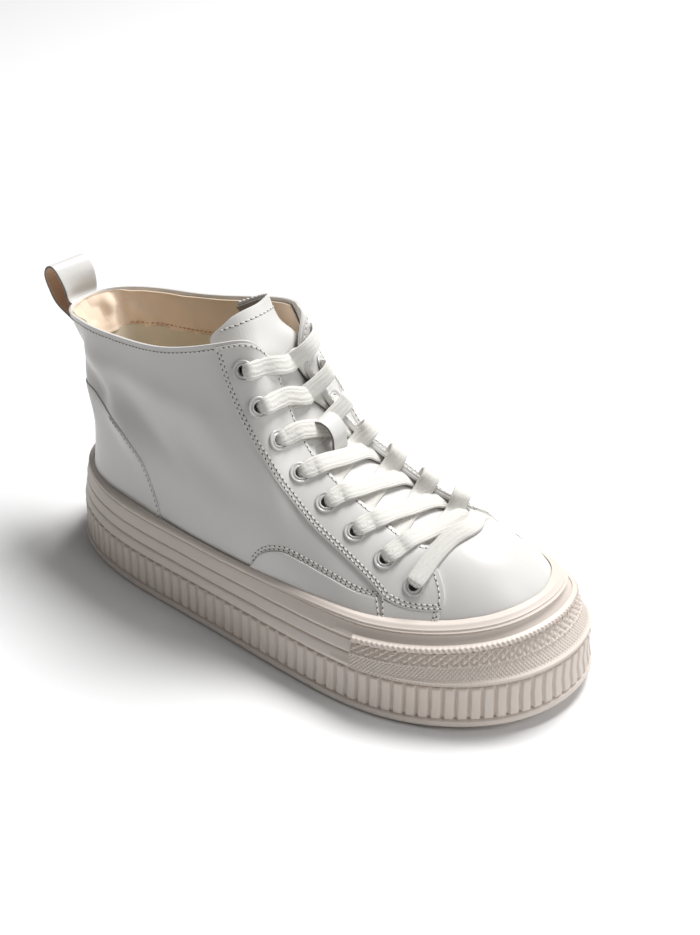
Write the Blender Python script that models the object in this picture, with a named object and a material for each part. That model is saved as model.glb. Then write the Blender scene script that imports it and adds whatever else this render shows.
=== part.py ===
"""Lace-up leather ankle boot on a ribbed rubber platform, right foot, EU size 38.

Frame: metres, toe towards +X, medial side +Y, lateral side -Y, +Z up, floor at z = 0.
The origin lies on the flat of the tread at mid-length of the sole.
Working values below are in millimetres; mesh_object() turns them to metres.
"""
import bpy
import bmesh
import numpy as np
from math import cos, pi, radians, sin

MM = 0.001
GAP = 0.3                    # play between pieces that touch

# ---------------------------------------------------------------- sole, driving sizes
RIB_COUNT = 114
RIB_DEPTH = 1.7
LIP_TOP = 4.0                # top of the smooth lip under the ribs
CUP_FLOOR = 34.0             # where the upper and the footbed stand
TOE_SPRING = 6.0             # lift of the toe tip
SPRING_START = 55.0
TOE_END = 143.5
ARCH_RISE = 1.4
ARCH_FROM, ARCH_TO = -66.0, -16.0
ARCH_RAMP = 14.0
TREAD_PITCH = 18.0
TREAD_GROOVE = 2.4
TREAD_DEPTH = 1.4
TREAD_MARGIN = 8.0           # smooth rim of the tread beside each groove
BAND_COLUMNS = 64            # columns of the foxing and the bumper
CUP_PLAY = 0.85               # play round the upper in the cup of the foxing
BUMPER_START = 62.0          # rear end of the toe bumper, lateral side, along x

# ground outline of the sole: name, x, y
SOLE_OUTLINE = [
    ("heel back",        -141.5,   3.0),
    ("heel corner lat",  -136.0,  -13.0),
    ("heel lat",         -120.5,  -28.5),
    ("heel breast lat",   -92.0,  -40.5),
    ("waist back lat",    -52.0,  -46.5),
    ("waist lat",         -14.0,  -50.5),
    ("ball back lat",      31.0,  -55.5),
    ("ball lat",           75.0,  -56.0),
    ("toe lat",           110.0,  -45.0),
    ("toe corner lat",    134.0,  -25.5),
    ("toe tip",           144.5,    6.0),
    ("toe corner med",    135.5,   35.0),
    ("toe med",           110.0,   51.0),
    ("ball med",           78.0,   57.0),
    ("ball back med",      40.0,   56.5),
    ("waist med",          -3.0,   50.0),
    ("waist back med",    -47.0,   45.0),
    ("heel breast med",   -92.0,   41.5),
    ("heel med",         -122.5,   33.0),
    ("heel corner med",  -137.5,   18.8),
]

# side of the sole at five stations along x: height of each level, and how far it stands in
# from the ground outline
SIDE_STATIONS = (-141.5, -95.0, -20.0, 65.0, 144.5)
SIDE_LEVELS = {
    #               z: heel, heel side, waist, ball, toe     inset: the same stations
    "rib top":     ((20.4, 20.4, 20.4, 20.5, 21.0), (1.0, 0.6, 0.9, 1.2, 1.5)),
    "outsole top": ((27.2, 27.2, 27.2, 27.8, 29.6), (2.1, 1.2, 1.2, 2.8, 8.0)),
    "groove 2":    ((33.8, 33.8, 33.8, 34.6, 37.4), (3.1, 2.0, 2.2, 4.4, 11.0)),
    "groove 1":    ((40.9, 40.9, 40.9, 41.8, 44.4), (4.8, 3.2, 3.4, 7.6, 14.5)),
    "joint":       ((44.1, 44.1, 44.1, 45.0, 48.0), (7.8, 5.2, 4.8, 10.6, 18.5)),
}

# ---------------------------------------------------------------- upper, driving sizes
WALL = 2.0                   # leather and lining together
OVERLAY = 1.0                # thickness of a facing or panel laid on the upper
SEAM_PLAY = 0.5              # play under it
ROWS = 10
EYELET_ROWS = 8

# sections of the upper from the heel back to the toe, half of them; every h is a distance
# from the centre line.  Columns: feather (x, h), top edge (x, h, z), handle up from the
# feather (x, h, z), handle down from the top edge (x, h, z), how far the medial top edge is
# drawn in by the laces, and how far the feather is drawn in (lateral, medial)
UPPER_SECTIONS = [
    ("back",          (-133.0, 0.0), (-145.0, 0.0, 119.0), (9.0, 0.0, 30.0), (22.0, 0.0, -22.0), 0.0, (0.0, 0.0)),
    ("back corner",   (-125.5, 20.5), (-138.5, 15.5, 120.5), (7.0, -2.0, 30.0), (17.5, 2.0, -24.0), 0.0, (0.0, 0.8)),
    ("heel side",     (-107.5, 31.5), (-119.0, 24.5, 123.5), (3.0, -1.0, 30.0), (10.0, 3.0, -28.0), 0.0, (0.0, 1.6)),
    ("ankle back",    (-80.0, 37.0), (-91.0, 29.0, 127.0), (0.0, 0.0, 30.0), (6.0, 3.0, -30.0), 0.0, (0.0, 2.4)),
    ("ankle",         (-48.0, 41.5), (-62.0, 32.5, 133.0), (-3.0, 0.0, 32.0), (5.0, 2.5, -32.0), 0.0, (0.4, 3.6)),
    ("ankle front",   (-18.0, 45.0), (-40.0, 31.0, 140.0), (-5.0, 0.0, 30.0), (8.0, 3.0, -34.0), 0.5, (1.4, 3.6)),
    ("corner back",   (4.0, 46.5), (-25.0, 27.5, 145.5), (-6.0, 0.5, 28.0), (8.0, 5.0, -36.0), 4.0, (1.4, 2.4)),
    ("corner",        (22.0, 46.5), (-14.0, 20.5, 145.5), (-6.0, 1.0, 26.0), (8.0, 10.0, -36.0), 7.0, (0.7, 1.4)),
    ("corner front",  (34.0, 47.0), (-10.5, 13.0, 133.5), (-6.0, 0.3, 24.0), (8.0, 14.0, -30.0), 7.5, (0.0, 0.8)),
    ("throat 1",      (46.0, 47.8), (-1.5, 12.0, 113.0), (-5.0, -0.6, 20.0), (6.0, 16.0, -20.0), 3.5, (0.0, 0.8)),
    ("throat 2",      (56.0, 48.4), (11.5, 14.0, 96.5), (-4.0, -1.0, 17.0), (6.0, 16.0, -13.0), 1.0, (0.0, 1.8)),
    ("throat 3",      (66.5, 48.6), (32.0, 15.5, 84.0), (-3.0, -1.0, 14.0), (6.0, 15.0, -9.0), 0.0, (0.0, 2.8)),
    ("throat 4",      (78.5, 47.2), (52.0, 16.5, 75.0), (-2.0, -1.0, 12.0), (6.0, 14.0, -6.0), 0.0, (0.0, 3.4)),
    ("throat 5",      (93.0, 42.4), (70.0, 18.0, 69.5), (0.0, -0.5, 12.0), (6.0, 12.0, -4.0), 0.0, (0.0, 2.6)),
    ("throat corner", (110.5, 32.8), (81.0, 13.0, 70.0), (1.0, 0.5, 14.0), (12.0, 9.5, 0.0), 0.0, (0.0, 0.8)),
    ("throat bottom", (130.5, 0.0), (85.0, 0.0, 73.0), (1.0, 0.0, 15.0), (21.0, 0.0, 0.0), 0.0, (0.0, 0.0)),
]


# eyelets, top row first: place on the upper as section count t and height share v
EYELET_PLACES = [
    (6.53, 0.888), (6.98, 0.768), (8.00, 0.700), (9.47, 0.752),
    (10.48, 0.768), (11.28, 0.732), (12.12, 0.680), (12.90, 0.572),
]
HOLE_RADIUS = 4.0            # holes are six-sided, under the flanges
HOLE_SIDES = 6
# turned profile of an eyelet: radius, height over the facing
EYELET_PROFILE = [(3.0, -3.4), (3.0, 0.2), (5.1, 0.2), (4.6, 1.0), (2.4, 0.7)]
EYELET_SIDES = 8
FLANGE_RISE = 1.0
EYELET_PLAY = 0.5            # under the flange

# edges of the leather laid on the upper.  Eyestay: section count t, lower and upper share v
EYESTAY_EDGE = [
    (5.75, 0.960, 0.985), (6.0, 0.848, 0.985), (6.43, 0.720, 0.985), (7.08, 0.608, 0.985),
    (7.95, 0.545, 0.985), (9.25, 0.548, 0.985), (10.4, 0.552, 0.985), (11.15, 0.520, 0.985),
    (11.68, 0.468, 0.985), (12.05, 0.415, 0.985), (13.30, 0.415, 0.980), (13.60, 0.47, 0.93),
    (13.75, 0.58, 0.80),
]
# the others stand on the sole's bead: section count t, upper share v
SIDE_PANEL_EDGE = [
    (5.85, 0.14), (6.10, 0.185), (6.43, 0.224), (7.10, 0.272), (8.20, 0.288), (9.98, 0.328),
    (10.9, 0.348), (11.85, 0.385),
]
TIP_PANEL_EDGE = [(12.0, 0.388), (12.6, 0.392), (13.15, 0.385), (13.32, 0.34)]
COUNTER_EDGE = [
    (0.45, 0.63), (1.5, 0.615), (2.55, 0.564), (2.93, 0.508), (3.2, 0.436), (3.43, 0.36),
    (3.6, 0.228), (3.7, 0.15),
]

# tongue
TONGUE_THICK = 3.0
TONGUE_DEPTH = 3.8           # how far its face lies under the upper's outer face
TONGUE_WING = 0.6            # reach past the eyelets, in widths of the facing
TONGUE_FOOT = 91.0           # x of its lower end, under the vamp
CROWN_RISE = 2.0             # swell of the tongue between the facings
# tongue above the lacing: x, y, z from the lateral edge to the medial edge
TONGUE_TOP = [
    [(-36.0, -25.5, 140.0), (-23.5, -16.0, 145.0), (-19.5, -4.0, 146.0), (-23.0, 8.5, 143.0), (-38.0, 15.0, 131.0)],
    [(-35.5, -22.0, 147.5), (-29.0, -13.0, 153.5), (-26.0, -3.0, 156.0), (-29.5, 8.0, 153.5), (-50.0, 12.0, 136.5)],
]

# laces
LACE_WIDTH = 8.0
LACE_THICK = 1.8
LACE_SEAT = SEAM_PLAY + OVERLAY + EYELET_PLAY + FLANGE_RISE + LACE_THICK / 2 + 0.5
LACE_RIM, LAST_RIM = 3.5, 3.9         # over the throat's edge
BAR_RIM, BAR_CROWN = 4.3, 7.0         # the bottom bar over the facings and over the tongue
CROSS_AT, FAR_AT = 0.42, 0.66         # rows that a run has come down at the middle and the far edge
LAST_SLANT = 0.55            # the lowest crossing slants less
LACE_CLEAR, LAST_CLEAR = 1.4, 2.3     # play over the tongue
FAR_REACH = 16               # where a run ends past the tongue's middle, in hundredths of its width
FLANGE_REACH = 5.4           # how far a lace runs level from the middle of an eyelet
KEEPER_WIDTH = 10.0
KEEPER_THICK = 1.2
# keeper: lace row, distance over the tongue
KEEPER_POINTS = [(1.74, 1.2), (1.86, 3.4), (2.02, 8.4), (2.66, 8.4), (2.86, 2.2), (3.0, 1.2)]

# heel strap: up the heel, over in a loop above the collar and down again to a free tail
STRAP_WIDTH = 20.0
STRAP_THICK = 1.2
STRAP_SEAT = 0.6             # play under it on the heel
STRAP_PLANE = 4.6            # y of its middle
STRAP_SPREAD = 0.42          # half its width on the heel, in sections
STRAP_LEG = (0.16, 0.3, 0.45, 0.57, 0.63, 0.69, 0.75, 0.81, 0.87, 0.93, 0.97)
LOOP_TWIST = 1.8             # how far the loop's medial edge is turned forward at its top
# loop: x, z, hollow of its cross-section, share of the twist
LOOP_POINTS = [
    (-146.6, 121.0, 2.2, 0.2), (-146.2, 126.5, 1.0, 0.6), (-147.6, 132.0, 0.3, 1.0),
    (-151.0, 136.0, 0.0, 1.0), (-155.0, 135.3, 0.0, 0.8), (-157.2, 131.0, 0.0, 0.5),
    (-156.0, 124.5, 0.8, 0.2), (-152.6, 118.0, 1.6, 0.0),
]
# free leg: height share v, distance from the heel
STRAP_TAIL = [(0.93, 4.8), (0.87, 3.9), (0.81, 3.5), (0.75, 3.5), (0.69, 4.3), (0.63, 5.6)]


# ---------------------------------------------------------------- curves
def closed_spline(points):
    """Periodic cubic spline by chord length: a function of u in 0..1, and u at each point."""
    p = np.asarray(points, float)
    n = len(p)
    step = np.linalg.norm(np.roll(p, -1, axis=0) - p, axis=1)
    before = np.roll(step, 1)
    system = np.zeros((n, n))
    for i in range(n):
        system[i, i - 1] += step[i]
        system[i, i] += 2 * (step[i] + before[i])
        system[i, (i + 1) % n] += before[i]
    slope = (np.roll(p, -1, axis=0) - p) / step[:, None]
    rate = np.linalg.solve(system, 3 * (step[:, None] * np.roll(slope, 1, axis=0)
                                        + before[:, None] * slope))
    knots = np.concatenate([[0.0], np.cumsum(step)])

    def curve(u):
        s = np.mod(np.atleast_1d(u), 1.0) * knots[-1]
        k = np.clip(np.searchsorted(knots, s, side="right") - 1, 0, n - 1)
        f = ((s - knots[k]) / step[k])[:, None]
        nxt = (k + 1) % n
        return ((1 + 2 * f) * (1 - f) ** 2 * p[k] + f * (1 - f) ** 2 * step[k][:, None] * rate[k]
                + f * f * (3 - 2 * f) * p[nxt] + f * f * (f - 1) * step[k][:, None] * rate[nxt])
    return curve, knots / knots[-1]


def smooth_step(f):
    f = np.clip(f, 0.0, 1.0)
    return f * f * (3 - 2 * f)


def toe_lift(x):
    """Height that toe spring adds at x."""
    f = np.clip((np.asarray(x, float) - SPRING_START) / (TOE_END - SPRING_START), 0, 1)
    return TOE_SPRING * f * f


def centre_line(x):
    """y of the last's centre line: swings to the medial side at the toe and the heel."""
    x = np.asarray(x, float)
    return np.where(x < -30, -0.04 * (x + 30), 0.0) + 6.0 * smooth_step((x - 20) / 120)


# ---------------------------------------------------------------- sole surface
ground, _ = closed_spline([(x, y) for _, x, y in SOLE_OUTLINE])


def ground_frame(u):
    p = ground(u)
    d = ground(np.asarray(u) + 0.002) - ground(np.asarray(u) - 0.002)
    d /= np.linalg.norm(d, axis=1)[:, None]
    return p, np.stack([d[:, 1], -d[:, 0]], axis=1)


def sole_ring(u, level=None, rise=0.0, inset=0.0):
    """Ring round the sole: the named level, or the ground where none is named, moved up by
    rise and in by inset."""
    p, out = ground_frame(u)
    height, inward = np.full(len(u), rise, float), np.full(len(u), inset, float)
    if level:
        z_row, inset_row = SIDE_LEVELS[level]
        height = height + np.interp(p[:, 0], SIDE_STATIONS, z_row)
        inward = inward + np.interp(p[:, 0], SIDE_STATIONS, inset_row)
    return np.column_stack([p - out * inward[:, None], height + toe_lift(p[:, 0])])


# ---------------------------------------------------------------- upper surface
STATIONS = 2 * (len(UPPER_SECTIONS) - 1)     # lateral side, toe, medial side
FEATHER_Z = CUP_FLOOR + GAP


def section_row(section, side):
    """Feather, two handles and top edge of one section, as one row of twelve numbers."""
    _, feather, top, rise, fall, draw, tucks = section
    tuck, fullness = tucks[1], 0.0
    if side < 0:
        draw, tuck, fullness = 0.0, tucks[0], tucks[0]
    foot = np.array([feather[0], centre_line(feather[0]) + side * (feather[1] - tuck),
                     FEATHER_Z + toe_lift(feather[0])])
    edge = np.array([top[0], centre_line(top[0]) + side * (top[1] - draw), top[2]])
    turn = np.array([1.0, side, 1.0])
    rise = np.add(rise, (0.0, fullness, 0.0))
    return np.concatenate([foot, foot + turn * rise, edge + turn * fall, edge])


upper_rows = [section_row(s, -1) for s in UPPER_SECTIONS]
upper_rows += [section_row(s, 1) for s in UPPER_SECTIONS[-2:0:-1]]
upper_spline, upper_knots = closed_spline(upper_rows)
half_columns = [0.0, 0.5, 1.0, 1.5, 2.0, 3.0, 4.0, 5.0] + [k / 2 for k in range(12, 30)]
upper_columns = np.array(half_columns + [15.0] + [STATIONS - t for t in half_columns[:0:-1]])


def skin(t, v, lift=0.0):
    """Point on the upper: t counts sections from the heel back round the lateral side, v runs
    from the feather to the top edge, lift is the distance out from the leather's face."""
    t, v, lift = np.broadcast_arrays(np.asarray(t, float), np.asarray(v, float), lift)

    def face(tt, vv):
        row = upper_spline(np.interp(np.mod(tt, STATIONS), np.arange(STATIONS + 1), upper_knots))
        w = vv[:, None]
        return ((1 - w) ** 3 * row[:, 0:3] + 3 * (1 - w) ** 2 * w * row[:, 3:6]
                + 3 * (1 - w) * w * w * row[:, 6:9] + w ** 3 * row[:, 9:12])
    flat_t, flat_v = t.ravel(), v.ravel()
    point = face(flat_t, flat_v)
    along = face(flat_t + 0.02, flat_v) - face(flat_t - 0.02, flat_v)
    up = face(flat_t, flat_v + 0.01) - face(flat_t, flat_v - 0.01)
    out = np.cross(along, up)
    out /= np.linalg.norm(out, axis=1)[:, None]
    return (point + out * lift.ravel()[:, None]).reshape(t.shape + (3,))


def height_share(t, z):
    """v at which the upper's face reaches height z in each column t."""
    v = np.linspace(0.0, 0.6, 61)
    column = skin(np.asarray(t)[:, None], v[None, :])[..., 2]
    return np.array([np.interp(level, row, v) for level, row in zip(z, column)])


def bead_share(t, above=0.9):
    """v just above the bead of the sole in each column t."""
    bead = sole_ring(np.arange(720) / 720, "joint", above)
    foot = skin(t, 0.12)
    distance = np.linalg.norm(foot[:, None, :2] - bead[None, :, :2], axis=2)
    return height_share(t, bead[np.argmin(distance, axis=1), 2])


# ---------------------------------------------------------------- meshes
def material(name, rgb, roughness, metallic=0.0):
    mat = bpy.data.materials.get(name)
    if mat:
        return mat
    mat = bpy.data.materials.new(name)
    mat.use_nodes = True
    shader = mat.node_tree.nodes["Principled BSDF"]
    shader.inputs["Base Color"].default_value = (*rgb, 1.0)
    shader.inputs["Roughness"].default_value = roughness
    shader.inputs["Metallic"].default_value = metallic
    mat.diffuse_color = (*rgb, 1.0)
    return mat


def leather():
    return material("white leather", (0.80, 0.79, 0.77), 0.42)


def lining():
    return material("beige lining", (0.72, 0.55, 0.38), 0.85)


def cotton():
    return material("white cotton", (0.86, 0.86, 0.84), 0.9)


def rubber():
    return material("cream rubber", (0.78, 0.71, 0.66), 0.55)


def mesh_object(name, points, faces, mat, smooth_angle=35.0):
    """Closed body from points in millimetres, faces turned outward."""
    mesh = bpy.data.meshes.new(name)
    mesh.from_pydata([tuple(MM * c for c in p) for p in points], [], faces)
    shape = bmesh.new()
    shape.from_mesh(mesh)
    bmesh.ops.recalc_face_normals(shape, faces=shape.faces)
    shape.to_mesh(mesh)
    shape.free()
    mesh.shade_smooth()
    mesh.set_sharp_from_angle(angle=radians(smooth_angle))
    mesh.materials.append(mat)
    obj = bpy.data.objects.new(name, mesh)
    bpy.context.collection.objects.link(obj)
    return obj


def across(first, count):
    """Faces that close a ring of count points by strips from side to side."""
    faces = [(first, first + 1, first + count - 1)]
    for j in range(1, count // 2 - 1):
        faces.append((first + j, first + j + 1, first + count - j - 1, first + count - j))
    half = count // 2
    faces.append((first + half - 1, first + half, first + half + 1))
    return faces


def between(first, second, count, per=1):
    """Faces between a ring of count points and one of per times as many."""
    faces = []
    for j in range(count):
        low = [first + j, first + (j + 1) % count]
        high = [second + (per * j + k) % (per * count) for k in range(per, -1, -1)]
        faces.append(tuple(low + high))
    return faces


def stack(rings, per=None):
    """Points and side faces of rings laid one on another; per[i] is how many times finer
    ring i is than the plain ones."""
    per = per or [1] * len(rings)
    points, faces, starts = [], [], []
    for ring in rings:
        starts.append(len(points))
        points.extend(ring)
    for i in range(len(rings) - 1):
        if per[i] == per[i + 1]:
            faces += between(starts[i], starts[i + 1], len(rings[i]))
        elif per[i] < per[i + 1]:
            faces += between(starts[i], starts[i + 1], len(rings[i]), per[i + 1])
        else:
            faces += between(starts[i + 1], starts[i], len(rings[i + 1]), per[i])
    return points, faces, starts


def grid_solid(name, outer, inner, mat, smooth_angle=35.0):
    """Closed sheet between two grids of points of the same shape."""
    rows, columns = outer.shape[:2]
    points = list(outer.reshape(-1, 3)) + list(inner.reshape(-1, 3))
    size = rows * columns

    def at(i, j, face):
        return face * size + i * columns + j
    faces = []
    for i in range(rows - 1):
        for j in range(columns - 1):
            for face in (0, 1):
                faces.append((at(i, j, face), at(i + 1, j, face), at(i + 1, j + 1, face), at(i, j + 1, face)))
    rim = [(i, 0) for i in range(rows)] + [(rows - 1, j) for j in range(1, columns)]
    rim += [(i, columns - 1) for i in range(rows - 2, -1, -1)] + [(0, j) for j in range(columns - 2, 0, -1)]
    for (i, j), (k, m) in zip(rim, rim[1:] + rim[:1]):
        faces.append((at(i, j, 0), at(k, m, 0), at(k, m, 1), at(i, j, 1)))
    return mesh_object(name, points, faces, mat, smooth_angle)


def tube_faces(count, ring):
    """Faces of count rings of ring points each, closed at both ends."""
    faces = [tuple(range(ring)), tuple(range((count - 1) * ring, count * ring))]
    for i in range(count - 1):
        for j in range(ring):
            k = (j + 1) % ring
            faces.append((i * ring + j, i * ring + k, (i + 1) * ring + k, (i + 1) * ring + j))
    return faces


def smooth_path(points, count):
    """Catmull-Rom curve through the points, read at count even steps of its parameter."""
    p = np.asarray(points, float)
    p = np.vstack([2 * p[0] - p[1], p, 2 * p[-1] - p[-2]])
    result = []
    for s in np.linspace(0, len(p) - 3 - 1e-9, count):
        k, f = int(s), s - int(s)
        a, b, c, d = p[k:k + 4]
        result.append(0.5 * (2 * b + (c - a) * f + (2 * a - 5 * b + 4 * c - d) * f * f
                             + (3 * b - a - 3 * c + d) * f ** 3))
    return np.array(result)


def ribbon(name, path, ups, width, thick, mat):
    """Flat strap swept along a path; ups are the directions that its face looks to."""
    along = np.gradient(path, axis=0)
    along /= np.linalg.norm(along, axis=1)[:, None]
    side = np.cross(along, ups)
    side /= np.linalg.norm(side, axis=1)[:, None]
    up = np.cross(side, along)
    points = []
    for centre, s, n in zip(path, side, up):
        for a, b in ((-1, -1), (1, -1), (1, 1), (-1, 1)):
            points.append(centre + s * a * width / 2 + n * b * thick / 2)
    return mesh_object(name, points, tube_faces(len(path), 4), mat)


def cut(obj, cutter):
    modifier = obj.modifiers.new("holes", "BOOLEAN")
    modifier.operation = "DIFFERENCE"
    modifier.object = cutter


def hide(obj):
    obj.hide_render = True
    obj.display_type = "WIRE"


# ---------------------------------------------------------------- sole
def arch(x):
    """Height of the arch over the ground at x."""
    up = smooth_step((x - ARCH_FROM) / ARCH_RAMP)
    return ARCH_RISE * (up - smooth_step((x - ARCH_TO + ARCH_RAMP) / ARCH_RAMP))


def add_outsole():
    count = RIB_COUNT
    even = np.arange(count) / count
    fine = (np.arange(count)[:, None] + np.array([0.0, 0.27, 0.73])[None, :]).ravel() / count
    valley = np.tile([RIB_DEPTH, 0.0, 0.0], count)
    tread = sole_ring(even, inset=2.2)
    tread[:, 2] += arch(tread[:, 0])
    foot = sole_ring(fine, rise=LIP_TOP + 0.1, inset=1.2 + valley)
    rings = [
        tread,
        sole_ring(even, rise=1.2),
        sole_ring(even, rise=LIP_TOP, inset=0.3),
        foot,
        sole_ring(fine, "rib top", inset=valley),
        sole_ring(even, "rib top", 0.6, 1.3),
        sole_ring(even, "rib top", 2.8, 0.3),
        sole_ring(even, "outsole top", -1.5, 0.1),
        sole_ring(even, "outsole top", 0.0, 1.5),
    ]
    points, faces, starts = stack(rings, [1, 1, 1, 3, 3, 1, 1, 1, 1])
    faces += across(starts[0], count) + across(starts[-1], count)
    outsole = mesh_object("outsole", points, faces, rubber(), 25.0)
    grooves = []
    for k in range(-7, 5):
        x = (k + 0.5) * TREAD_PITCH
        if ARCH_FROM - 4 < x < ARCH_TO + 4:
            continue
        lateral, medial = tread_edges(x)
        grooves.append(box_points(x, (lateral + medial) / 2, float(toe_lift(x)), TREAD_GROOVE,
                                  medial - lateral - 2 * TREAD_MARGIN, 2 * TREAD_DEPTH))
    cutter = boxes("tread grooves", grooves)
    cut(outsole, cutter)
    return outsole


def tread_edges(x):
    """Lateral and medial y of the ground outline at x."""
    ring = ground(np.linspace(0, 1, 721)[:-1])
    near = ring[np.abs(ring[:, 0] - x) < 3.0]
    return near[near[:, 1] < 0, 1].mean(), near[near[:, 1] > 0, 1].mean()


def box_points(x, y, z, dx, dy, dz):
    return [(x + a * dx / 2, y + b * dy / 2, z + c * dz / 2) for c in (-1, 1) for a, b in
            ((-1, -1), (1, -1), (1, 1), (-1, 1))]


def boxes(name, blocks):
    points, faces = [], []
    for block in blocks:
        base = len(points)
        points += block
        faces += [tuple(base + i for i in face) for face in tube_faces(2, 4)]
    obj = mesh_object(name, points, faces, rubber())
    hide(obj)
    return obj


def nearest_columns(ring, z):
    """Section count t of the upper beside each point of a ring round the sole."""
    t = np.linspace(0, STATIONS, 1801)[:-1]
    face = skin(t, height_share(t, np.full(len(t), z)))
    distance = np.linalg.norm(ring[:, None, :2] - face[None, :, :2], axis=2)
    return t[np.argmin(distance, axis=1)]


def on_floor(ring, height):
    """The ring with its points put at a height over the cup floor."""
    ring = ring.copy()
    ring[:, 2] = CUP_FLOOR + height + toe_lift(ring[:, 0])
    return ring


def add_midsole():
    even = np.arange(BAND_COLUMNS) / BAND_COLUMNS
    joint = sole_ring(even, "joint")
    t = nearest_columns(joint, 46.0)
    lip_share = height_share(t, joint[:, 2] - 0.3)
    rings = [
        sole_ring(even, "outsole top", GAP, 1.8),
        sole_ring(even, "outsole top", GAP + 0.8, 0.3),
        sole_ring(even, "groove 2", -1.0, 0.0),
        sole_ring(even, "groove 2", 0.0, 1.1),
        sole_ring(even, "groove 2", 1.0, 0.3),
        sole_ring(even, "groove 1", -1.2, 0.0),
        sole_ring(even, "groove 1", 0.0, 0.6),
        sole_ring(even, "groove 1", 1.2, 0.2),
        sole_ring(even, "joint", -1.2, -2.0),
        sole_ring(even, "joint", 0.1, -1.1),
        skin(t, lip_share, CUP_PLAY),
        skin(t, lip_share / 2, CUP_PLAY),
        on_floor(skin(t, 0.0, CUP_PLAY), 0.0),
    ]
    points, faces, starts = stack(rings)
    faces += across(starts[0], BAND_COLUMNS) + across(starts[-1], BAND_COLUMNS)
    return mesh_object("midsole", points, faces, rubber(), 25.0)


def add_toe_bumper():
    even = np.arange(BAND_COLUMNS) / BAND_COLUMNS
    u = even[ground(even)[:, 0] > BUMPER_START]
    loop = [
        ("rib top", 1.0, 0.3), ("rib top", 2.8, -0.5), ("outsole top", -1.5, -0.7), ("groove 2", -1.0, -1.0),
        ("groove 2", 3.2, -0.7), ("groove 2", 3.4, -1.9), ("groove 2", -1.0, -2.2), ("outsole top", 0.8, -2.2),
        ("outsole top", 0.0, -1.5), ("outsole top", -0.8, -2.1), ("rib top", 2.8, -1.9), ("rib top", 1.0, -1.2),
    ]
    rings = np.stack([sole_ring(u, level, rise, inset) for level, rise, inset in loop], axis=1)
    points = list(rings.reshape(-1, 3))
    return mesh_object("toe_bumper", points, tube_faces(len(u), len(loop)), rubber(), 25.0)


# ---------------------------------------------------------------- upper
def add_upper():
    t = upper_columns
    outer = [skin(t, v) for v in np.linspace(0.0, 1.0, ROWS)]
    inner = [skin(t, v, -WALL) for v in np.linspace(0.0, 1.0, ROWS)]
    outer[0] = on_floor(outer[0], GAP)
    inner[0] = on_floor(inner[0], GAP)
    points, faces, starts = stack(outer + inner[::-1])
    faces += between(starts[-1], starts[0], len(t))
    return mesh_object("upper", points, faces, leather(), 60.0)


def add_insole():
    t = upper_columns
    inset = -WALL - 2 * GAP
    rings = [
        on_floor(skin(t, 0.0, inset), GAP),
        on_floor(skin(t, 0.06, inset), 3.2),
        on_floor(skin(t, 0.06, inset - 0.9), 4.0),
    ]
    points, faces, starts = stack(rings)
    faces += across(starts[0], len(t)) + across(starts[-1], len(t))
    return mesh_object("insole", points, faces, lining())


def add_overlay(name, edge, side, rows, thick=OVERLAY):
    """Leather laid on the upper's lateral (-1) or medial (1) side, from its edge table."""
    table = np.array(edge)
    first, last = table[0, 0], table[-1, 0]
    steps = np.arange(np.ceil(2 * first + 0.1), 2 * last - 0.3) / 2
    t = np.unique(np.concatenate([[first], steps, table[-2:, 0]]))
    high = np.interp(t, table[:, 0], table[:, -1])
    low = np.interp(t, table[:, 0], table[:, 1]) if table.shape[1] == 3 else bead_share(t)
    high = np.maximum(high, low + 0.02)
    v = low[:, None] + (high - low)[:, None] * np.linspace(0, 1, rows)[None, :]
    place = t[:, None] if side < 0 else STATIONS - t[:, None]
    return grid_solid(name, skin(place, v, SEAM_PLAY + thick), skin(place, v, SEAM_PLAY), leather())


def turned(frame, profile, segments, lift):
    centre, axis, a, b = frame
    points = []
    for k in range(segments):
        angle = 2 * pi * k / segments
        spoke = a * cos(angle) + b * sin(angle)
        points += [centre + spoke * r + axis * (h + lift) for r, h in profile]
    return points


def add_eyelet(row, side):
    ring = len(EYELET_PROFILE)
    lift = SEAM_PLAY + OVERLAY + EYELET_PLAY + flange_rise(row, side)
    points = turned(eyelet_frame(row, side), EYELET_PROFILE, EYELET_SIDES, lift)
    faces = []
    for i in range(EYELET_SIDES):
        for j in range(ring):
            k, m = (i + 1) % EYELET_SIDES, (j + 1) % ring
            faces.append((i * ring + j, i * ring + m, k * ring + m, k * ring + j))
    name = "eyelet_%s%d" % ("l" if side < 0 else "m", row + 1)
    return mesh_object(name, points, faces, material("painted metal", (0.62, 0.61, 0.59), 0.35, 0.6), 50.0)


def add_hole_cutter():
    points, faces = [], []
    for side in (-1, 1):
        for row in range(EYELET_ROWS):
            base = len(points)
            disc = turned(eyelet_frame(row, side), [(HOLE_RADIUS, -6.0), (HOLE_RADIUS, 4.0)], HOLE_SIDES, 0.0)
            points += disc[0::2] + disc[1::2]
            faces += [tuple(base + i for i in face) for face in tube_faces(2, HOLE_SIDES)]
    cutter = mesh_object("eyelet holes", points, faces, leather())
    hide(cutter)
    return cutter


# ---------------------------------------------------------------- lacing frame
def eyelet_place(row):
    """Section count t and height share v at a lace row, which may be a fraction."""
    table = np.array(EYELET_PLACES)
    rows = np.arange(EYELET_ROWS)
    return np.interp(row, rows, table[:, 0]), np.interp(row, rows, table[:, 1])


def eyelet_point(row, side, lift=0.0):
    t, v = eyelet_place(row)
    return skin(t if side < 0 else STATIONS - t, v, lift)


def eyelet_frame(row, side):
    """Centre on the upper's face, outward axis and two axes across it."""
    centre = eyelet_point(row, side)
    axis = eyelet_point(row, side, 1.0) - centre
    across_axis = np.cross(axis, (0.0, 0.0, 1.0))
    across_axis /= np.linalg.norm(across_axis)
    return centre, axis, across_axis, np.cross(axis, across_axis)


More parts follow.
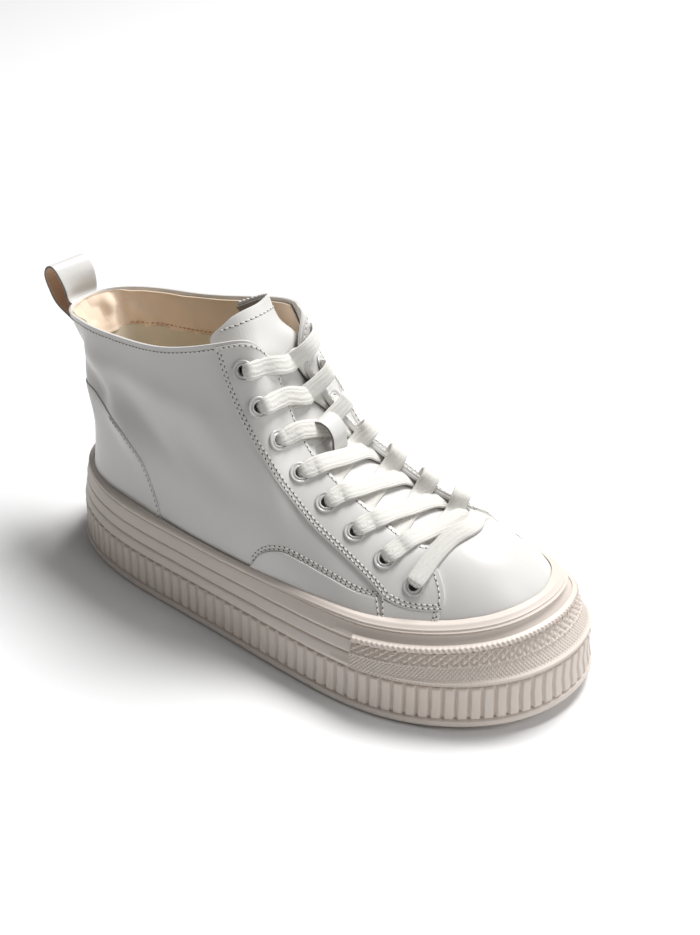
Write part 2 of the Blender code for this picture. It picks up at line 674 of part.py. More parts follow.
def row_direction(row, side):
    """Unit vector down the row of eyelets."""
    row = min(max(row, 0.5), EYELET_ROWS - 1.5)
    down = eyelet_point(row + 0.5, side) - eyelet_point(row - 0.5, side)
    return down / np.linalg.norm(down)


def flange_rise(row, side):
    """How far the facing rises over the plane of an eyelet's flange within its radius."""
    centre, axis, _, _ = eyelet_frame(row, side)
    t, v = eyelet_place(row)
    around = np.linspace(-1, 1, 21)
    patch = skin((t if side < 0 else STATIONS - t) + 0.6 * around[:, None], v + 0.15 * around[None, :])
    offset = patch.reshape(-1, 3) - centre
    height = offset @ axis
    spread = np.linalg.norm(offset - height[:, None] * axis, axis=1)
    return height[spread < EYELET_PROFILE[2][0] + 1.2].max()


def throat_count(row, side):
    """Section count t of the throat's edge square across from a lace row."""
    t = np.linspace(7.0, 14.4, 741)
    reach = skin(t if side < 0 else STATIONS - t, 1.0) - eyelet_point(row, side)
    off = np.abs(reach @ row_direction(row, side)) + 0.001 * np.linalg.norm(reach, axis=1)
    return t[int(np.argmin(off))]


def flap_point(row, side, share, lift):
    """Point on a facing: share 0 at the eyelets, 1 at the throat's edge, below 0 behind them."""
    t, v = eyelet_place(row)
    edge = throat_count(row, side)
    t, v = t + (edge - t) * share, v + (1.0 - v) * share
    return skin(t if side < 0 else STATIONS - t, v, lift)


def crown(row):
    """Middle of the tongue's face at a lace row, and the direction it looks to."""
    lateral, medial = flap_point(row, -1, 1.0, -TONGUE_DEPTH), flap_point(row, 1, 1.0, -TONGUE_DEPTH)
    down = row_direction(row, -1) + row_direction(row, 1)
    out = np.cross(down, medial - lateral)
    out /= np.linalg.norm(out)
    return (lateral + medial) / 2 + out * CROWN_RISE, out


def tongue_section(row, count):
    """Points across the tongue's face at a lace row, from the lateral to the medial edge."""
    middle, _ = crown(row)
    return smooth_path([
        flap_point(row, -1, -TONGUE_WING, -TONGUE_DEPTH), flap_point(row, -1, 0.7, -TONGUE_DEPTH), middle,
        flap_point(row, 1, 0.7, -TONGUE_DEPTH), flap_point(row, 1, -TONGUE_WING, -TONGUE_DEPTH)], count)


# ---------------------------------------------------------------- tongue, laces, strap
def vamp_section(x, count):
    """Points across the tongue's face under the vamp at x."""
    v = np.linspace(0.5, 1.0, 51)
    section = []
    for t in (12.9, 14.0, 15.0, 16.0, 17.1):
        column = skin(t, v, -TONGUE_DEPTH)
        section.append([np.interp(-x, -column[:, 0], column[:, i]) for i in range(3)])
    return smooth_path(section, count)


def add_tongue():
    count = 7
    sections = [vamp_section(TONGUE_FOOT, count)]
    sections += [tongue_section(row, count) for row in np.linspace(EYELET_ROWS - 1.5, 0, 13)]
    sections += [smooth_path(section, count) for section in TONGUE_TOP]
    face = np.array(sections)
    along, over = np.gradient(face, axis=0), np.gradient(face, axis=1)
    out = np.cross(over, along)
    out /= np.linalg.norm(out, axis=2)[..., None]
    return grid_solid("tongue", face, face - out * TONGUE_THICK, leather())


def lace_run(row, side, over):
    """Path and face directions of one run of lace: from an eyelet across the facing, then
    slantwise over or under the other run to the far edge of the throat."""
    axis = eyelet_frame(row, side)[1]
    start = eyelet_point(row, side, LACE_SEAT + flange_rise(row, side))
    last = row == EYELET_ROWS - 2
    slant = LAST_SLANT if last else 1.0
    rim = flap_point(row + CROSS_AT * slant / 2, side, 1.0, LAST_RIM if last else LACE_RIM)
    heading = rim - start
    heading -= axis * (heading @ axis)
    heading /= np.linalg.norm(heading)
    middle, out = crown(row + CROSS_AT * slant)
    _, far_out = crown(row + FAR_AT * slant)
    far = tongue_section(row + FAR_AT * slant, 101)[50 - side * FAR_REACH]
    clear = LACE_THICK / 2 + (LAST_CLEAR if last else LACE_CLEAR)
    height = clear + (LACE_THICK - 0.4 if over else 0.0)
    path = [start, start + heading * FLANGE_REACH, rim, middle + out * height, far + far_out * clear]
    ups = [axis, axis, axis * 0.5 + out * 0.5, out, far_out]
    return smooth_path(path, 9), smooth_path(ups, 9)


def add_crossing(row):
    path, ups = lace_run(row, -1, True)
    lateral = ribbon("lace_cross_%d" % (row + 1), path, ups, LACE_WIDTH, LACE_THICK, cotton())
    path, ups = lace_run(row, 1, False)
    medial = ribbon("medial run %d" % (row + 1), path, ups, LACE_WIDTH, LACE_THICK, cotton())
    hide(medial)
    joined = lateral.modifiers.new("joined", "BOOLEAN")
    joined.operation = "UNION"
    joined.object = medial
    return lateral


def add_bottom_bar():
    row = EYELET_ROWS - 1
    middle, out = crown(row)
    lateral, medial = eyelet_frame(row, -1)[1], eyelet_frame(row, 1)[1]
    path = [
        eyelet_point(row, -1, LACE_SEAT + flange_rise(row, -1)),
        flap_point(row, -1, 0.5, BAR_RIM),
        middle + out * BAR_CROWN,
        flap_point(row, 1, 0.5, BAR_RIM),
        eyelet_point(row, 1, LACE_SEAT + flange_rise(row, 1)),
    ]
    ups = [lateral, lateral + out, out, medial + out, medial]
    return ribbon("lace_bar", smooth_path(path, 13), smooth_path(ups, 13), LACE_WIDTH, LACE_THICK, cotton())


def add_lace_keeper():
    """Leather tab on the tongue; the third crossing runs under it."""
    path, ups = [], []
    for row, lift in KEEPER_POINTS:
        middle, out = crown(row)
        path.append(middle + out * lift)
        ups.append(out)
    return ribbon("lace_keeper", smooth_path(path, 12), smooth_path(ups, 12), KEEPER_WIDTH, KEEPER_THICK,
                  leather())


def add_heel_strap():
    share = np.linspace(-1, 1, 5)
    face = [skin(-share * STRAP_SPREAD, v, STRAP_SEAT) for v in STRAP_LEG]
    for x, z, hollow, twist in smooth_path(LOOP_POINTS, 12):
        face.append(np.column_stack([
            x + hollow * share ** 2 + LOOP_TWIST * twist * share,
            STRAP_PLANE + share * STRAP_WIDTH / 2,
            np.full(len(share), z)]))
    face += [skin(-share * STRAP_SPREAD, v, lift) for v, lift in STRAP_TAIL]
    face = np.array(face)
    along, over = np.gradient(face, axis=0), np.gradient(face, axis=1)
    out = np.cross(along, over)
    out /= np.linalg.norm(out, axis=2)[..., None]
    return grid_solid("heel_strap", face, face + out * STRAP_THICK, leather())


# ---------------------------------------------------------------- assembly
def build():
    for old in list(bpy.data.objects):
        bpy.data.objects.remove(old)
    add_outsole()
    add_midsole()
    add_toe_bumper()
    add_insole()
    upper = add_upper()
    holes = add_hole_cutter()
    cut(upper, holes)
    for side, name, eyestay_rows in ((-1, "lateral", 5), (1, "medial", 4)):
        eyestay = add_overlay("eyestay_" + name, EYESTAY_EDGE, side, eyestay_rows)
        cut(eyestay, holes)
        add_overlay("quarter_" + name, SIDE_PANEL_EDGE, side, 3)
        add_overlay("tip_" + name, TIP_PANEL_EDGE, side, 3)
        add_overlay("counter_" + name, COUNTER_EDGE, side, 4)
        for row in range(EYELET_ROWS):
            add_eyelet(row, side)
    add_tongue()
    add_heel_strap()
    add_bottom_bar()
    for row in range(EYELET_ROWS - 1):
        add_crossing(row)
    add_lace_keeper()


build()
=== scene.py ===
# %% [markdown]
# # A white leather lace-up boot on a ribbed rubber platform
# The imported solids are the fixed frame: they hold the size, the openings and the mass. Every
# visible piece is made again over its own solid, with the thickness, seams, stitches and weave
# that a shoemaker's eye looks for, and stays inside the space of the solid it replaces.

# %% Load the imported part
from math import cos, pi, radians, sin

import bpy
import numpy as np
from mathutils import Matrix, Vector


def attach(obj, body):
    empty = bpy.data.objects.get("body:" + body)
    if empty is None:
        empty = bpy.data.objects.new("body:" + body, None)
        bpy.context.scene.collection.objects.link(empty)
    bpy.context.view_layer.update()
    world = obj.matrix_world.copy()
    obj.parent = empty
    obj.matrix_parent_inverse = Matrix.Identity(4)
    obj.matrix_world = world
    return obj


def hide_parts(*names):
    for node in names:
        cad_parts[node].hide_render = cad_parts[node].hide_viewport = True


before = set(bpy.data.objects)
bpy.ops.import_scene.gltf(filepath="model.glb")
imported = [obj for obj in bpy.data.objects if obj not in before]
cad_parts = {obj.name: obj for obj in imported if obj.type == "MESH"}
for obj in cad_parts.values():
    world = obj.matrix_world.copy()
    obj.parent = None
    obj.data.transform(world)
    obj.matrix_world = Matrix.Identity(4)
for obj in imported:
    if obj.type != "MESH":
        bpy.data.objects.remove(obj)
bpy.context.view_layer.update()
MM = 0.001

# %% [markdown]
# ## The last
# A shoe is built over a last, a solid foot shape. Everything on the upper is placed by two
# numbers: t counts sections round the foot from the heel back along the lateral (outer) side
# to the toe and home along the medial side, and v runs from the feather, where upper meets
# sole, to the top edge. A section is one curve with two handles, and a periodic spline runs
# through all sections, so the leather has no flat facets anywhere.

# %% Sections of the upper, from the heel back to the toe, in millimetres
# columns: feather (x, h), top edge (x, h, z), handle up from the feather, handle down from the
# top edge, medial top edge drawn in, feather drawn in (lateral, medial); h is half the width
UPPER_SECTIONS = [
    ("back", (-133, 0), (-145, 0, 119), (9, 0, 30), (22, 0, -22), 0, (0, 0)),
    ("back corner", (-125.5, 20.5), (-138.5, 15.5, 120.5), (7, -2, 30), (17.5, 2, -24), 0, (0, 0.8)),
    ("heel side", (-107.5, 31.5), (-119, 24.5, 123.5), (3, -1, 30), (10, 3, -28), 0, (0, 1.6)),
    ("ankle back", (-80, 37), (-91, 29, 127), (0, 0, 30), (6, 3, -30), 0, (0, 2.4)),
    ("ankle", (-48, 41.5), (-62, 32.5, 133), (-3, 0, 32), (5, 2.5, -32), 0, (0.4, 3.6)),
    ("ankle front", (-18, 45), (-40, 31, 140), (-5, 0, 30), (8, 3, -34), 0.5, (1.4, 3.6)),
    ("corner back", (4, 46.5), (-25, 27.5, 145.5), (-6, 0.5, 28), (8, 5, -36), 4, (1.4, 2.4)),
    ("corner", (22, 46.5), (-14, 20.5, 145.5), (-6, 1, 26), (8, 10, -36), 7, (0.7, 1.4)),
    ("corner front", (34, 47), (-10.5, 13, 133.5), (-6, 0.3, 24), (8, 14, -30), 7.5, (0, 0.8)),
    ("throat 1", (46, 47.8), (-1.5, 12, 113), (-5, -0.6, 20), (6, 16, -20), 3.5, (0, 0.8)),
    ("throat 2", (56, 48.4), (11.5, 14, 96.5), (-4, -1, 17), (6, 16, -13), 1, (0, 1.8)),
    ("throat 3", (66.5, 48.6), (32, 15.5, 84), (-3, -1, 14), (6, 15, -9), 0, (0, 2.8)),
    ("throat 4", (78.5, 47.2), (52, 16.5, 75), (-2, -1, 12), (6, 14, -6), 0, (0, 3.4)),
    ("throat 5", (93, 42.4), (70, 18, 69.5), (0, -0.5, 12), (6, 12, -4), 0, (0, 2.6)),
    ("throat corner", (110.5, 32.8), (81, 13, 70), (1, 0.5, 14), (12, 9.5, 0), 0, (0, 0.8)),
    ("throat bottom", (130.5, 0), (85, 0, 73), (1, 0, 15), (21, 0, 0), 0, (0, 0)),
]
STATIONS = 2 * (len(UPPER_SECTIONS) - 1)
# eyelets, top row first: section count t and height share v, on either side
EYELET_PLACES = np.array([
    (6.53, 0.888), (6.98, 0.768), (8.00, 0.700), (9.47, 0.752),
    (10.48, 0.768), (11.28, 0.732), (12.12, 0.680), (12.90, 0.572),
])
ROWS = len(EYELET_PLACES)
CUP_FLOOR, FEATHER_RISE = 34.0, 0.3
TOE_SPRING, SPRING_START, TOE_END = 6.0, 55.0, 143.5
HEEL_SWING, HEEL_FROM, TOE_SWING, TOE_FROM, TOE_OVER = 0.04, -30, 6.0, 20, 120      # of the centre line
STEP_T, STEP_V = 0.02, 0.01          # half steps that find the leather's slope
SIDES = ((-1, "lateral"), (1, "medial"))


def unit(rows):
    """The same directions with length one."""
    return rows / np.linalg.norm(rows, axis=-1, keepdims=True)


def run_lengths(path):
    """Length along a path up to each of its points."""
    return np.concatenate([[0.0], np.cumsum(np.linalg.norm(np.diff(path, axis=0), axis=1))])


def between(x, known, rows):
    """Rows of numbers read at x between the known places."""
    return np.column_stack([np.interp(x, known, column) for column in rows.T])


def closed_spline(points):
    """Periodic cubic spline by chord length: a function of u in 0..1, and u at each point."""
    p = np.asarray(points, float)
    n = len(p)
    ahead = np.roll(p, -1, axis=0) - p
    step = np.linalg.norm(ahead, axis=1)
    before = np.roll(step, 1)
    system = np.zeros((n, n))
    for i in range(n):
        system[i, i - 1] += step[i]
        system[i, i] += 2 * (step[i] + before[i])
        system[i, (i + 1) % n] += before[i]
    slope = ahead / step[:, None]
    rate = np.linalg.solve(system, 3 * (step[:, None] * np.roll(slope, 1, axis=0)
                                        + before[:, None] * slope))
    knots = np.concatenate([[0.0], np.cumsum(step)])

    def curve(u):
        s = np.mod(np.atleast_1d(u), 1.0) * knots[-1]
        k = np.clip(np.searchsorted(knots, s, side="right") - 1, 0, n - 1)
        f = ((s - knots[k]) / step[k])[:, None]
        nxt = (k + 1) % n
        return ((1 + 2 * f) * (1 - f) ** 2 * p[k] + f * (1 - f) ** 2 * step[k][:, None] * rate[k]
                + f * f * (3 - 2 * f) * p[nxt] + f * f * (f - 1) * step[k][:, None] * rate[nxt])
    return curve, knots / knots[-1]


def smooth_path(points, count):
    """Catmull-Rom curve through the points, read at count even steps of its parameter."""
    p = np.asarray(points, float)
    p = np.vstack([2 * p[0] - p[1], p, 2 * p[-1] - p[-2]])
    s = np.linspace(0, len(p) - 3 - 1e-9, count)
    k = s.astype(int)
    f = (s - k)[:, None]
    a, b, c, d = p[k], p[k + 1], p[k + 2], p[k + 3]
    return 0.5 * (2 * b + (c - a) * f + (2 * a - 5 * b + 4 * c - d) * f * f
                  + (3 * b - a - 3 * c + d) * f ** 3)


def smooth_step(f):
    f = np.clip(f, 0.0, 1.0)
    return f * f * (3 - 2 * f)


def toe_lift(x):
    """Height that toe spring adds at x."""
    share = np.clip((np.asarray(x, float) - SPRING_START) / (TOE_END - SPRING_START), 0, 1)
    return TOE_SPRING * share ** 2


def centre_line(x):
    """y of the last's centre line: swings to the medial side at the toe and the heel."""
    x = np.asarray(x, float)
    heel = np.where(x < HEEL_FROM, -HEEL_SWING * (x - HEEL_FROM), 0.0)
    return heel + TOE_SWING * smooth_step((x - TOE_FROM) / TOE_OVER)


def section_row(section, side):
    """Feather, two handles and top edge of one section, as one row of twelve numbers."""
    _, feather, top, rise, fall, draw, tucks = section
    tuck, fullness = tucks[1], 0.0
    if side < 0:
        draw, tuck, fullness = 0.0, tucks[0], tucks[0]
    foot = np.array([feather[0], centre_line(feather[0]) + side * (feather[1] - tuck),
                     CUP_FLOOR + FEATHER_RISE + toe_lift(feather[0])])
    edge = np.array([top[0], centre_line(top[0]) + side * (top[1] - draw), top[2]])
    turn = np.array([1.0, side, 1.0])
    rise = np.add(rise, (0.0, fullness, 0.0))
    return np.concatenate([foot, foot + turn * rise, edge + turn * fall, edge])


upper_rows = [section_row(s, -1) for s in UPPER_SECTIONS]
upper_rows += [section_row(s, 1) for s in UPPER_SECTIONS[-2:0:-1]]
upper_spline, upper_knots = closed_spline(upper_rows)
print("sections round the last:", STATIONS)

# %% [markdown]
# Leather that has been pulled over a last and handled is never quite smooth. The soft dents at
# the ankle and heel are placed one by one, each low and wide, because they only show as slow
# changes of light.

# %% Soft creases: section count t, share v, half length (mm), half width (mm), tilt, height (mm)
CREASES = [
    (2.05, 0.66, 12, 5.5, -25, -3.2), (2.35, 0.80, 20, 6.5, 0, 1.2), (1.15, 0.80, 14, 5.5, 60, -2),
    (1.25, 0.62, 16, 5, -60, 1.8), (2.85, 0.50, 24, 6.5, -42, 2.4), (3.4, 0.60, 24, 7, -38, -2.2),
    (4.0, 0.74, 26, 8, -12, 1.1), (4.7, 0.50, 28, 9, -25, -1.2), (5.3, 0.62, 22, 8, -50, 0.9),
    (7.6, 0.36, 30, 8, -20, -0.5), (27.9, 0.66, 14, 7, 25, -2.4), (27.1, 0.50, 24, 7, 42, 1.9),
    (26.3, 0.60, 26, 8, 35, -1.2), (25.0, 0.50, 28, 10, 25, 0.7),
]
CREASE_REACH = 4          # sections; a crease shows no further from its own place


def face(t, v):
    """Point on the bare last in t and v, as rows of x, y, z."""
    row = upper_spline(np.interp(np.mod(t, STATIONS), np.arange(STATIONS + 1), upper_knots))
    w = v[:, None]
    return ((1 - w) ** 3 * row[:, 0:3] + 3 * (1 - w) ** 2 * w * row[:, 3:6]
            + 3 * (1 - w) * w * w * row[:, 6:9] + w ** 3 * row[:, 9:12])


def crease(t, point):
    """Height of the listed dents at each point."""
    total = np.zeros(len(t))
    for ct, cv, length, width, tilt, height in CREASES:
        centre, ahead, up = face(np.array([ct, ct + 5 * STEP_T, ct]), np.array([cv, cv, cv + 2 * STEP_V]))
        ahead = unit(ahead - centre)
        up = up - centre
        up = unit(up - ahead * (up @ ahead))
        run = ahead * cos(radians(tilt)) + up * sin(radians(tilt))
        rise = up * cos(radians(tilt)) - ahead * sin(radians(tilt))
        offset = point - centre
        near = np.abs(np.mod(t - ct + STATIONS / 2, STATIONS) - STATIONS / 2) < CREASE_REACH
        total += near * height * np.exp(-(offset @ run / length) ** 2 - (offset @ rise / width) ** 2)
    return total


# %% [markdown]
# The laces pull the two facings together. On the medial side they press the row of eyelets
# down, and the edge of the facing stands up a little off the tongue, like a lip.

# %% Skin of the upper
LIP_RISE, LIP_SINK, LIP_CURVE, SINK_WIDTH = 2.0, 4.4, 1.2, 0.16     # mm, mm, power, share of the height
LIP_FROM, LIP_TO, LIP_START, LIP_END = 6.0, 14.5, 1.0, 1.1          # section counts of the medial side


def lip(t, v):
    """How far the medial facing stands off the last: up at the throat's edge, down at the eyelets."""
    count = STATIONS - np.mod(t, STATIONS)
    row_v = np.interp(count, *EYELET_PLACES.T)
    reach = np.clip((v - row_v) / (1.0 - row_v), 0.0, 1.0) ** LIP_CURVE
    sink = np.exp(-((v - row_v) / SINK_WIDTH) ** 2)
    along = smooth_step((count - LIP_FROM) / LIP_START) * smooth_step((LIP_TO - count) / LIP_END)
    return (LIP_RISE * reach - LIP_SINK * sink) * along


def skin(t, v, lift=0.0, lipped=True):
    """Point on the upper, lift millimetres out from the leather's face."""
    t, v, lift = np.broadcast_arrays(np.asarray(t, float), np.asarray(v, float), lift)
    flat_t, flat_v = t.ravel(), v.ravel()
    point = face(flat_t, flat_v)
    along = face(flat_t + STEP_T, flat_v) - face(flat_t - STEP_T, flat_v)
    up = face(flat_t, flat_v + STEP_V) - face(flat_t, flat_v - STEP_V)
    out = unit(np.cross(along, up))
    height = lift.ravel() + crease(flat_t, point) + (lip(flat_t, flat_v) if lipped else 0.0)
    return (point + out * height[:, None]).reshape(t.shape + (3,))


print("heel back of the collar:", skin(0.0, 1.0).round(1))

# %% [markdown]
# ## The way the pieces are made
# A cut piece of leather starts as a flat sheet. So a grid primitive is the sheet, one function
# lays its vertices on the last, and modifiers give it thickness and rounded edges.

# %% Helpers: a sheet laid in place, thickness, edges, closing up
def only(piece):
    """Select one piece alone and make it active."""
    bpy.ops.object.select_all(action="DESELECT")
    piece.select_set(True)
    bpy.context.view_layer.objects.active = piece


def primitive(add, name="", **settings):
    """The piece that a primitive's operator adds."""
    bpy.ops.object.select_all(action="DESELECT")
    add(**settings)
    piece = bpy.context.object
    if name:
        piece.name = piece.data.name = name
    return piece


def vertices_of(piece):
    co = np.empty(3 * len(piece.data.vertices))
    piece.data.vertices.foreach_get("co", co)
    return co.reshape(-1, 3)


def put_vertices(piece, points_mm):
    piece.data.vertices.foreach_set("co", (np.asarray(points_mm) * MM).ravel())
    piece.data.update()


def sheet(name, columns, rows, place):
    """A grid primitive whose vertices go where place(across, up) says, both 0..1; the UV map
    keeps across and up."""
    piece = primitive(bpy.ops.mesh.primitive_grid_add, name, x_subdivisions=columns,
                      y_subdivisions=rows, size=1)
    flat = vertices_of(piece)
    put_vertices(piece, place(flat[:, 0] + 0.5, flat[:, 1] + 0.5))
    return piece


def row_number(share, last):
    """Whole number of a grid row or column from its share of the grid."""
    return np.rint(share * last).astype(int)


def modifier(piece, kind, **settings):
    """Add one modifier and apply it."""
    only(piece)
    new = piece.modifiers.new(kind.lower(), kind)
    for key, value in settings.items():
        setattr(new, key, value)
    bpy.ops.object.modifier_apply(modifier=new.name)


def cut_away(piece, cutter):
    modifier(piece, "BOOLEAN", operation="DIFFERENCE", object=cutter, solver="EXACT")


def round_edges(piece, width, segments, angle):
    modifier(piece, "BEVEL", width=width * MM, segments=segments, limit_method="ANGLE",
             angle_limit=radians(angle))


def close_up(piece, caps=False):
    """Merge seams, fill open borders if asked, and turn all faces outward."""
    only(piece)
    bpy.ops.object.mode_set(mode="EDIT")
    bpy.ops.mesh.select_all(action="SELECT")
    bpy.ops.mesh.remove_doubles(threshold=0.00001)
    if caps:
        bpy.ops.mesh.select_all(action="DESELECT")
        bpy.ops.mesh.select_non_manifold()
        bpy.ops.mesh.fill_holes(sides=0)
        bpy.ops.mesh.quads_convert_to_tris(ngon_method="BEAUTY")
    bpy.ops.mesh.select_all(action="SELECT")
    bpy.ops.mesh.normals_make_consistent(inside=False)
    bpy.ops.object.mode_set(mode="OBJECT")


def thicken(piece, thick, **faces):
    """Give a sheet thickness inward from its face, and close it."""
    modifier(piece, "SOLIDIFY", thickness=thick * MM, offset=-1.0, **faces)
    close_up(piece)


def join(pieces):
    """Join pieces into the first one."""
    only(pieces[0])
    for piece in pieces:
        piece.select_set(True)
    bpy.ops.object.join()
    return pieces[0]


def done(piece, material, replaces=(), angle=40.0):
    """Shade, dress and mount a finished piece."""
    only(piece)
    bpy.ops.object.shade_smooth_by_angle(angle=radians(angle))
    if material:
        piece.data.materials.clear()
        piece.data.materials.append(material)
    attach(piece, "root")
    if replaces:
        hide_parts(*replaces)
    print(piece.name, "triangles:", sum(len(p.vertices) - 2 for p in piece.data.polygons))


# %% [markdown]
# ## Materials
# Each finish starts from what the real one is. Colours are sRGB hex values, and pattern scales
# come from sizes in millimetres: a texture on Object coordinates counts features per metre, so
# a feature of s millimetres has scale 1000 / s.

# %% Colour and node helpers
def srgb(code):
    """Linear RGBA of an sRGB hex colour."""
    parts = [int(code[i:i + 2], 16) / 255 for i in (1, 3, 5)]
    return tuple(c / 12.92 if c <= 0.04045 else ((c + 0.055) / 1.055) ** 2.4 for c in parts) + (1.0,)


def add_node(tree, kind, links=(), **settings):
    """Add a node. Settings name its properties or its inputs; links are (input, socket)."""
    node = tree.nodes.new("ShaderNode" + kind)
    for key, value in settings.items():
        if key in node.inputs:
            node.inputs[key].default_value = value
        else:
            setattr(node, key, value)
    for name, socket in links:
        tree.links.new(node.inputs[name], socket)
    return node


def new_material(name, colour, roughness, **shader_inputs):
    """A material with its one shader; gives the material, its tree and the shader."""
    mat = bpy.data.materials.new(name)
    mat.use_nodes = True
    tree = mat.node_tree
    shader = tree.nodes["Principled BSDF"]
    shader.inputs["Base Color"].default_value = srgb(colour)
    shader.inputs["Roughness"].default_value = roughness
    for key, value in shader_inputs.items():
        shader.inputs[key.replace("_", " ")].default_value = value
    return mat, tree, shader


MIX_FIRST, MIX_SECOND, MIX_RESULT = 6, 7, 2          # the colour sockets of a mix node


def uneven_colour(tree, shader, factor, shade, colour):
    """Base colour that runs from a shade to the colour as the factor does."""
    tint = add_node(tree, "Mix", [("Factor", factor)], data_type="RGBA")
    tint.inputs[MIX_FIRST].default_value, tint.inputs[MIX_SECOND].default_value = srgb(shade), srgb(colour)
    tree.links.new(shader.inputs["Base Color"], tint.outputs[MIX_RESULT])


def finish(name, colour, roughness, cloud=None, shade=None, gloss=None, bumps=(), **shader_inputs):
    """A finish with one soft cloud (mm, detail, roughness of the noise) that changes the colour
    to a shade and the gloss by two amounts, and bumps (texture, mm, detail, strength, depth in
    mm) laid one over another."""
    mat, tree, shader = new_material(name, colour, roughness, **shader_inputs)
    place = ("Vector", add_node(tree, "TexCoord").outputs["Object"])
    if cloud:
        size, detail, rough = cloud
        haze = add_node(tree, "TexNoise", [place], Scale=1000 / size, Detail=detail,
                        Roughness=rough).outputs["Fac"]
        if shade:
            uneven_colour(tree, shader, haze, shade, colour)
        if gloss:
            level = add_node(tree, "MapRange", [("Value", haze)],
                             **{"To Min": roughness + gloss[0], "To Max": roughness + gloss[1]})
            tree.links.new(shader.inputs["Roughness"], level.outputs["Result"])
    under = []
    for texture, size, detail, strength, depth in bumps:
        pattern = add_node(tree, texture, [place], Scale=1000 / size, Detail=detail)
        height = pattern.outputs["Distance" if texture == "TexVoronoi" else "Fac"]
        bump = add_node(tree, "Bump", [("Height", height)] + under, Strength=strength, Distance=depth * MM)
        under = [("Normal", bump.outputs["Normal"])]
    for name_of_input, socket in under:
        tree.links.new(shader.inputs[name_of_input], socket)
    return mat


# %% [markdown]
# The leather is smooth full grain, chrome tanned and finished with a white pigmented resin. The
# resin gives a soft satin light over a very fine grain; the pores barely show, and the hide is
# slightly uneven over a few centimetres.
#
# The platform is compression-moulded rubber in a warm off-white. Moulded rubber is matt with a
# faint, slightly waxy sheen, and the mould leaves a fine sandblasted skin.

# %% White pigmented leather and cream moulded rubber
leather = finish("full-grain leather, white resin finish", "#DEDCD9", 0.34, (28, 3, 0.55), "#D7D5D2",
                 (0.06, -0.04), [("TexVoronoi", 0.7, 0, 0.1, 0.12), ("TexNoise", 9, 4, 0.1, 0.8)], IOR=1.5)
rubber = finish("moulded rubber, cream", "#DCD1C8", 0.46, (22, 3, 0.5), None,
                (-0.05, 0.08), [("TexNoise", 0.6, 2, 0.12, 0.1)], IOR=1.52)
print("leather and rubber ready")

# %% [markdown]
# The lining is soft undyed split leather in beige, the footbed a woven beige cloth, the tongue
# is backed with grey-brown felt. Cotton for laces, polyester thread for stitches, enamelled
# brass for eyelets.

# %% Lining, felt, thread, enamel, cut edges, and a dark colour of painted needle-hole shade
def soft_cloth(name, colour, shade, pitch, depth):
    """Matt cloth or split leather: a fine nap of the given pitch, and an uneven dye."""
    return finish(name, colour, 0.85, (14, 4, 0.5), shade, None, [("TexNoise", pitch, 3, 0.35, depth)],
                  IOR=1.45, Sheen_Weight=0.25)


lining = soft_cloth("split leather lining, beige", "#F2DFCB", "#E8D0B6", 1.2, 0.12)
sock_lining = soft_cloth("cotton drill lining, greyed beige", "#DFD5C2", "#D2C7B1", 0.7, 0.1)
felt = soft_cloth("wool felt, grey brown", "#A0978F", "#857C76", 0.8, 0.3)
strap_lining = soft_cloth("split leather strap lining, tan", "#D9BCA0", "#C4A588", 1.0, 0.1)
enamel = finish("brass eyelet, baked grey-white enamel", "#C6C5C2", 0.27,
                bumps=[("TexNoise", 0.8, 2, 0.08, 0.1)], Coat_Weight=0.3)
# the needle holes' dark colour is painted shade of the holes
thread, tan_thread, needle_hole_shade, cut_edge = [new_material(*plain)[0] for plain in (
    ("bonded polyester thread, white", "#DEDBD6", 0.55), ("cotton thread, tan", "#CDA074", 0.7),
    ("needle hole in shadow", "#4A4641", 0.9), ("cut leather edge, painted grey", "#7C7470", 0.7))]
print("soft finishes ready")

# %% [markdown]
# Flat cotton laces are knitted as a tube and pressed flat. Their face shows lengthwise strands
# about 1 mm wide, each a chain of small loops, with a brushed nap over them. The UV map of each
# lace counts millimetres, x round it and y along it: a wave across x makes the strands, and a
# noise that is stretched along y breaks them up.

# %% Knitted cotton
STRAND, WAVE_PERIOD = 1.3, 0.314          # mm, and the period of a wave texture at scale 1


def knitted_cotton(name, colour, shade):
    mat, tree, shader = new_material(name, colour, 0.9, IOR=1.45, Sheen_Weight=0.35)
    run = ("Vector", add_node(tree, "UVMap", uv_map="UVMap").outputs["UV"])
    stretched = ("Vector", add_node(tree, "Mapping", [run], Scale=(1.3, 0.3, 1.0)).outputs["Vector"])
    total = add_node(tree, "TexWave", [run], Scale=WAVE_PERIOD / STRAND, Distortion=3.5,
                     Detail=3.0).outputs["Fac"]
    fibres = add_node(tree, "TexNoise", [stretched], Scale=1.0, Detail=3.0).outputs["Fac"]
    loops = add_node(tree, "TexNoise", [run], Scale=1.1, Detail=2.0).outputs["Fac"]
    for part in (fibres, loops):
        total = add_node(tree, "Math", [(0, total), (1, part)], operation="ADD").outputs["Value"]
    uneven_colour(tree, shader, fibres, shade, colour)
    bump = add_node(tree, "Bump", [("Height", total)], Strength=0.4, Distance=0.0003)
    tree.links.new(shader.inputs["Normal"], bump.outputs["Normal"])
    return mat


cotton = knitted_cotton("knitted cotton, bleached", "#E6E4DF", "#D2CFC8")
print("cotton ready")

# %% [markdown]
# ## The platform
# A platform like this is moulded in one piece with its ribs. Its outline is drawn once on the
# ground, and each level of the side has a height and a distance in from that outline, measured
# at five places from heel to toe. A moulded side has no true vertical or square edge, so every
# step in the profile is rounded by two or three points.

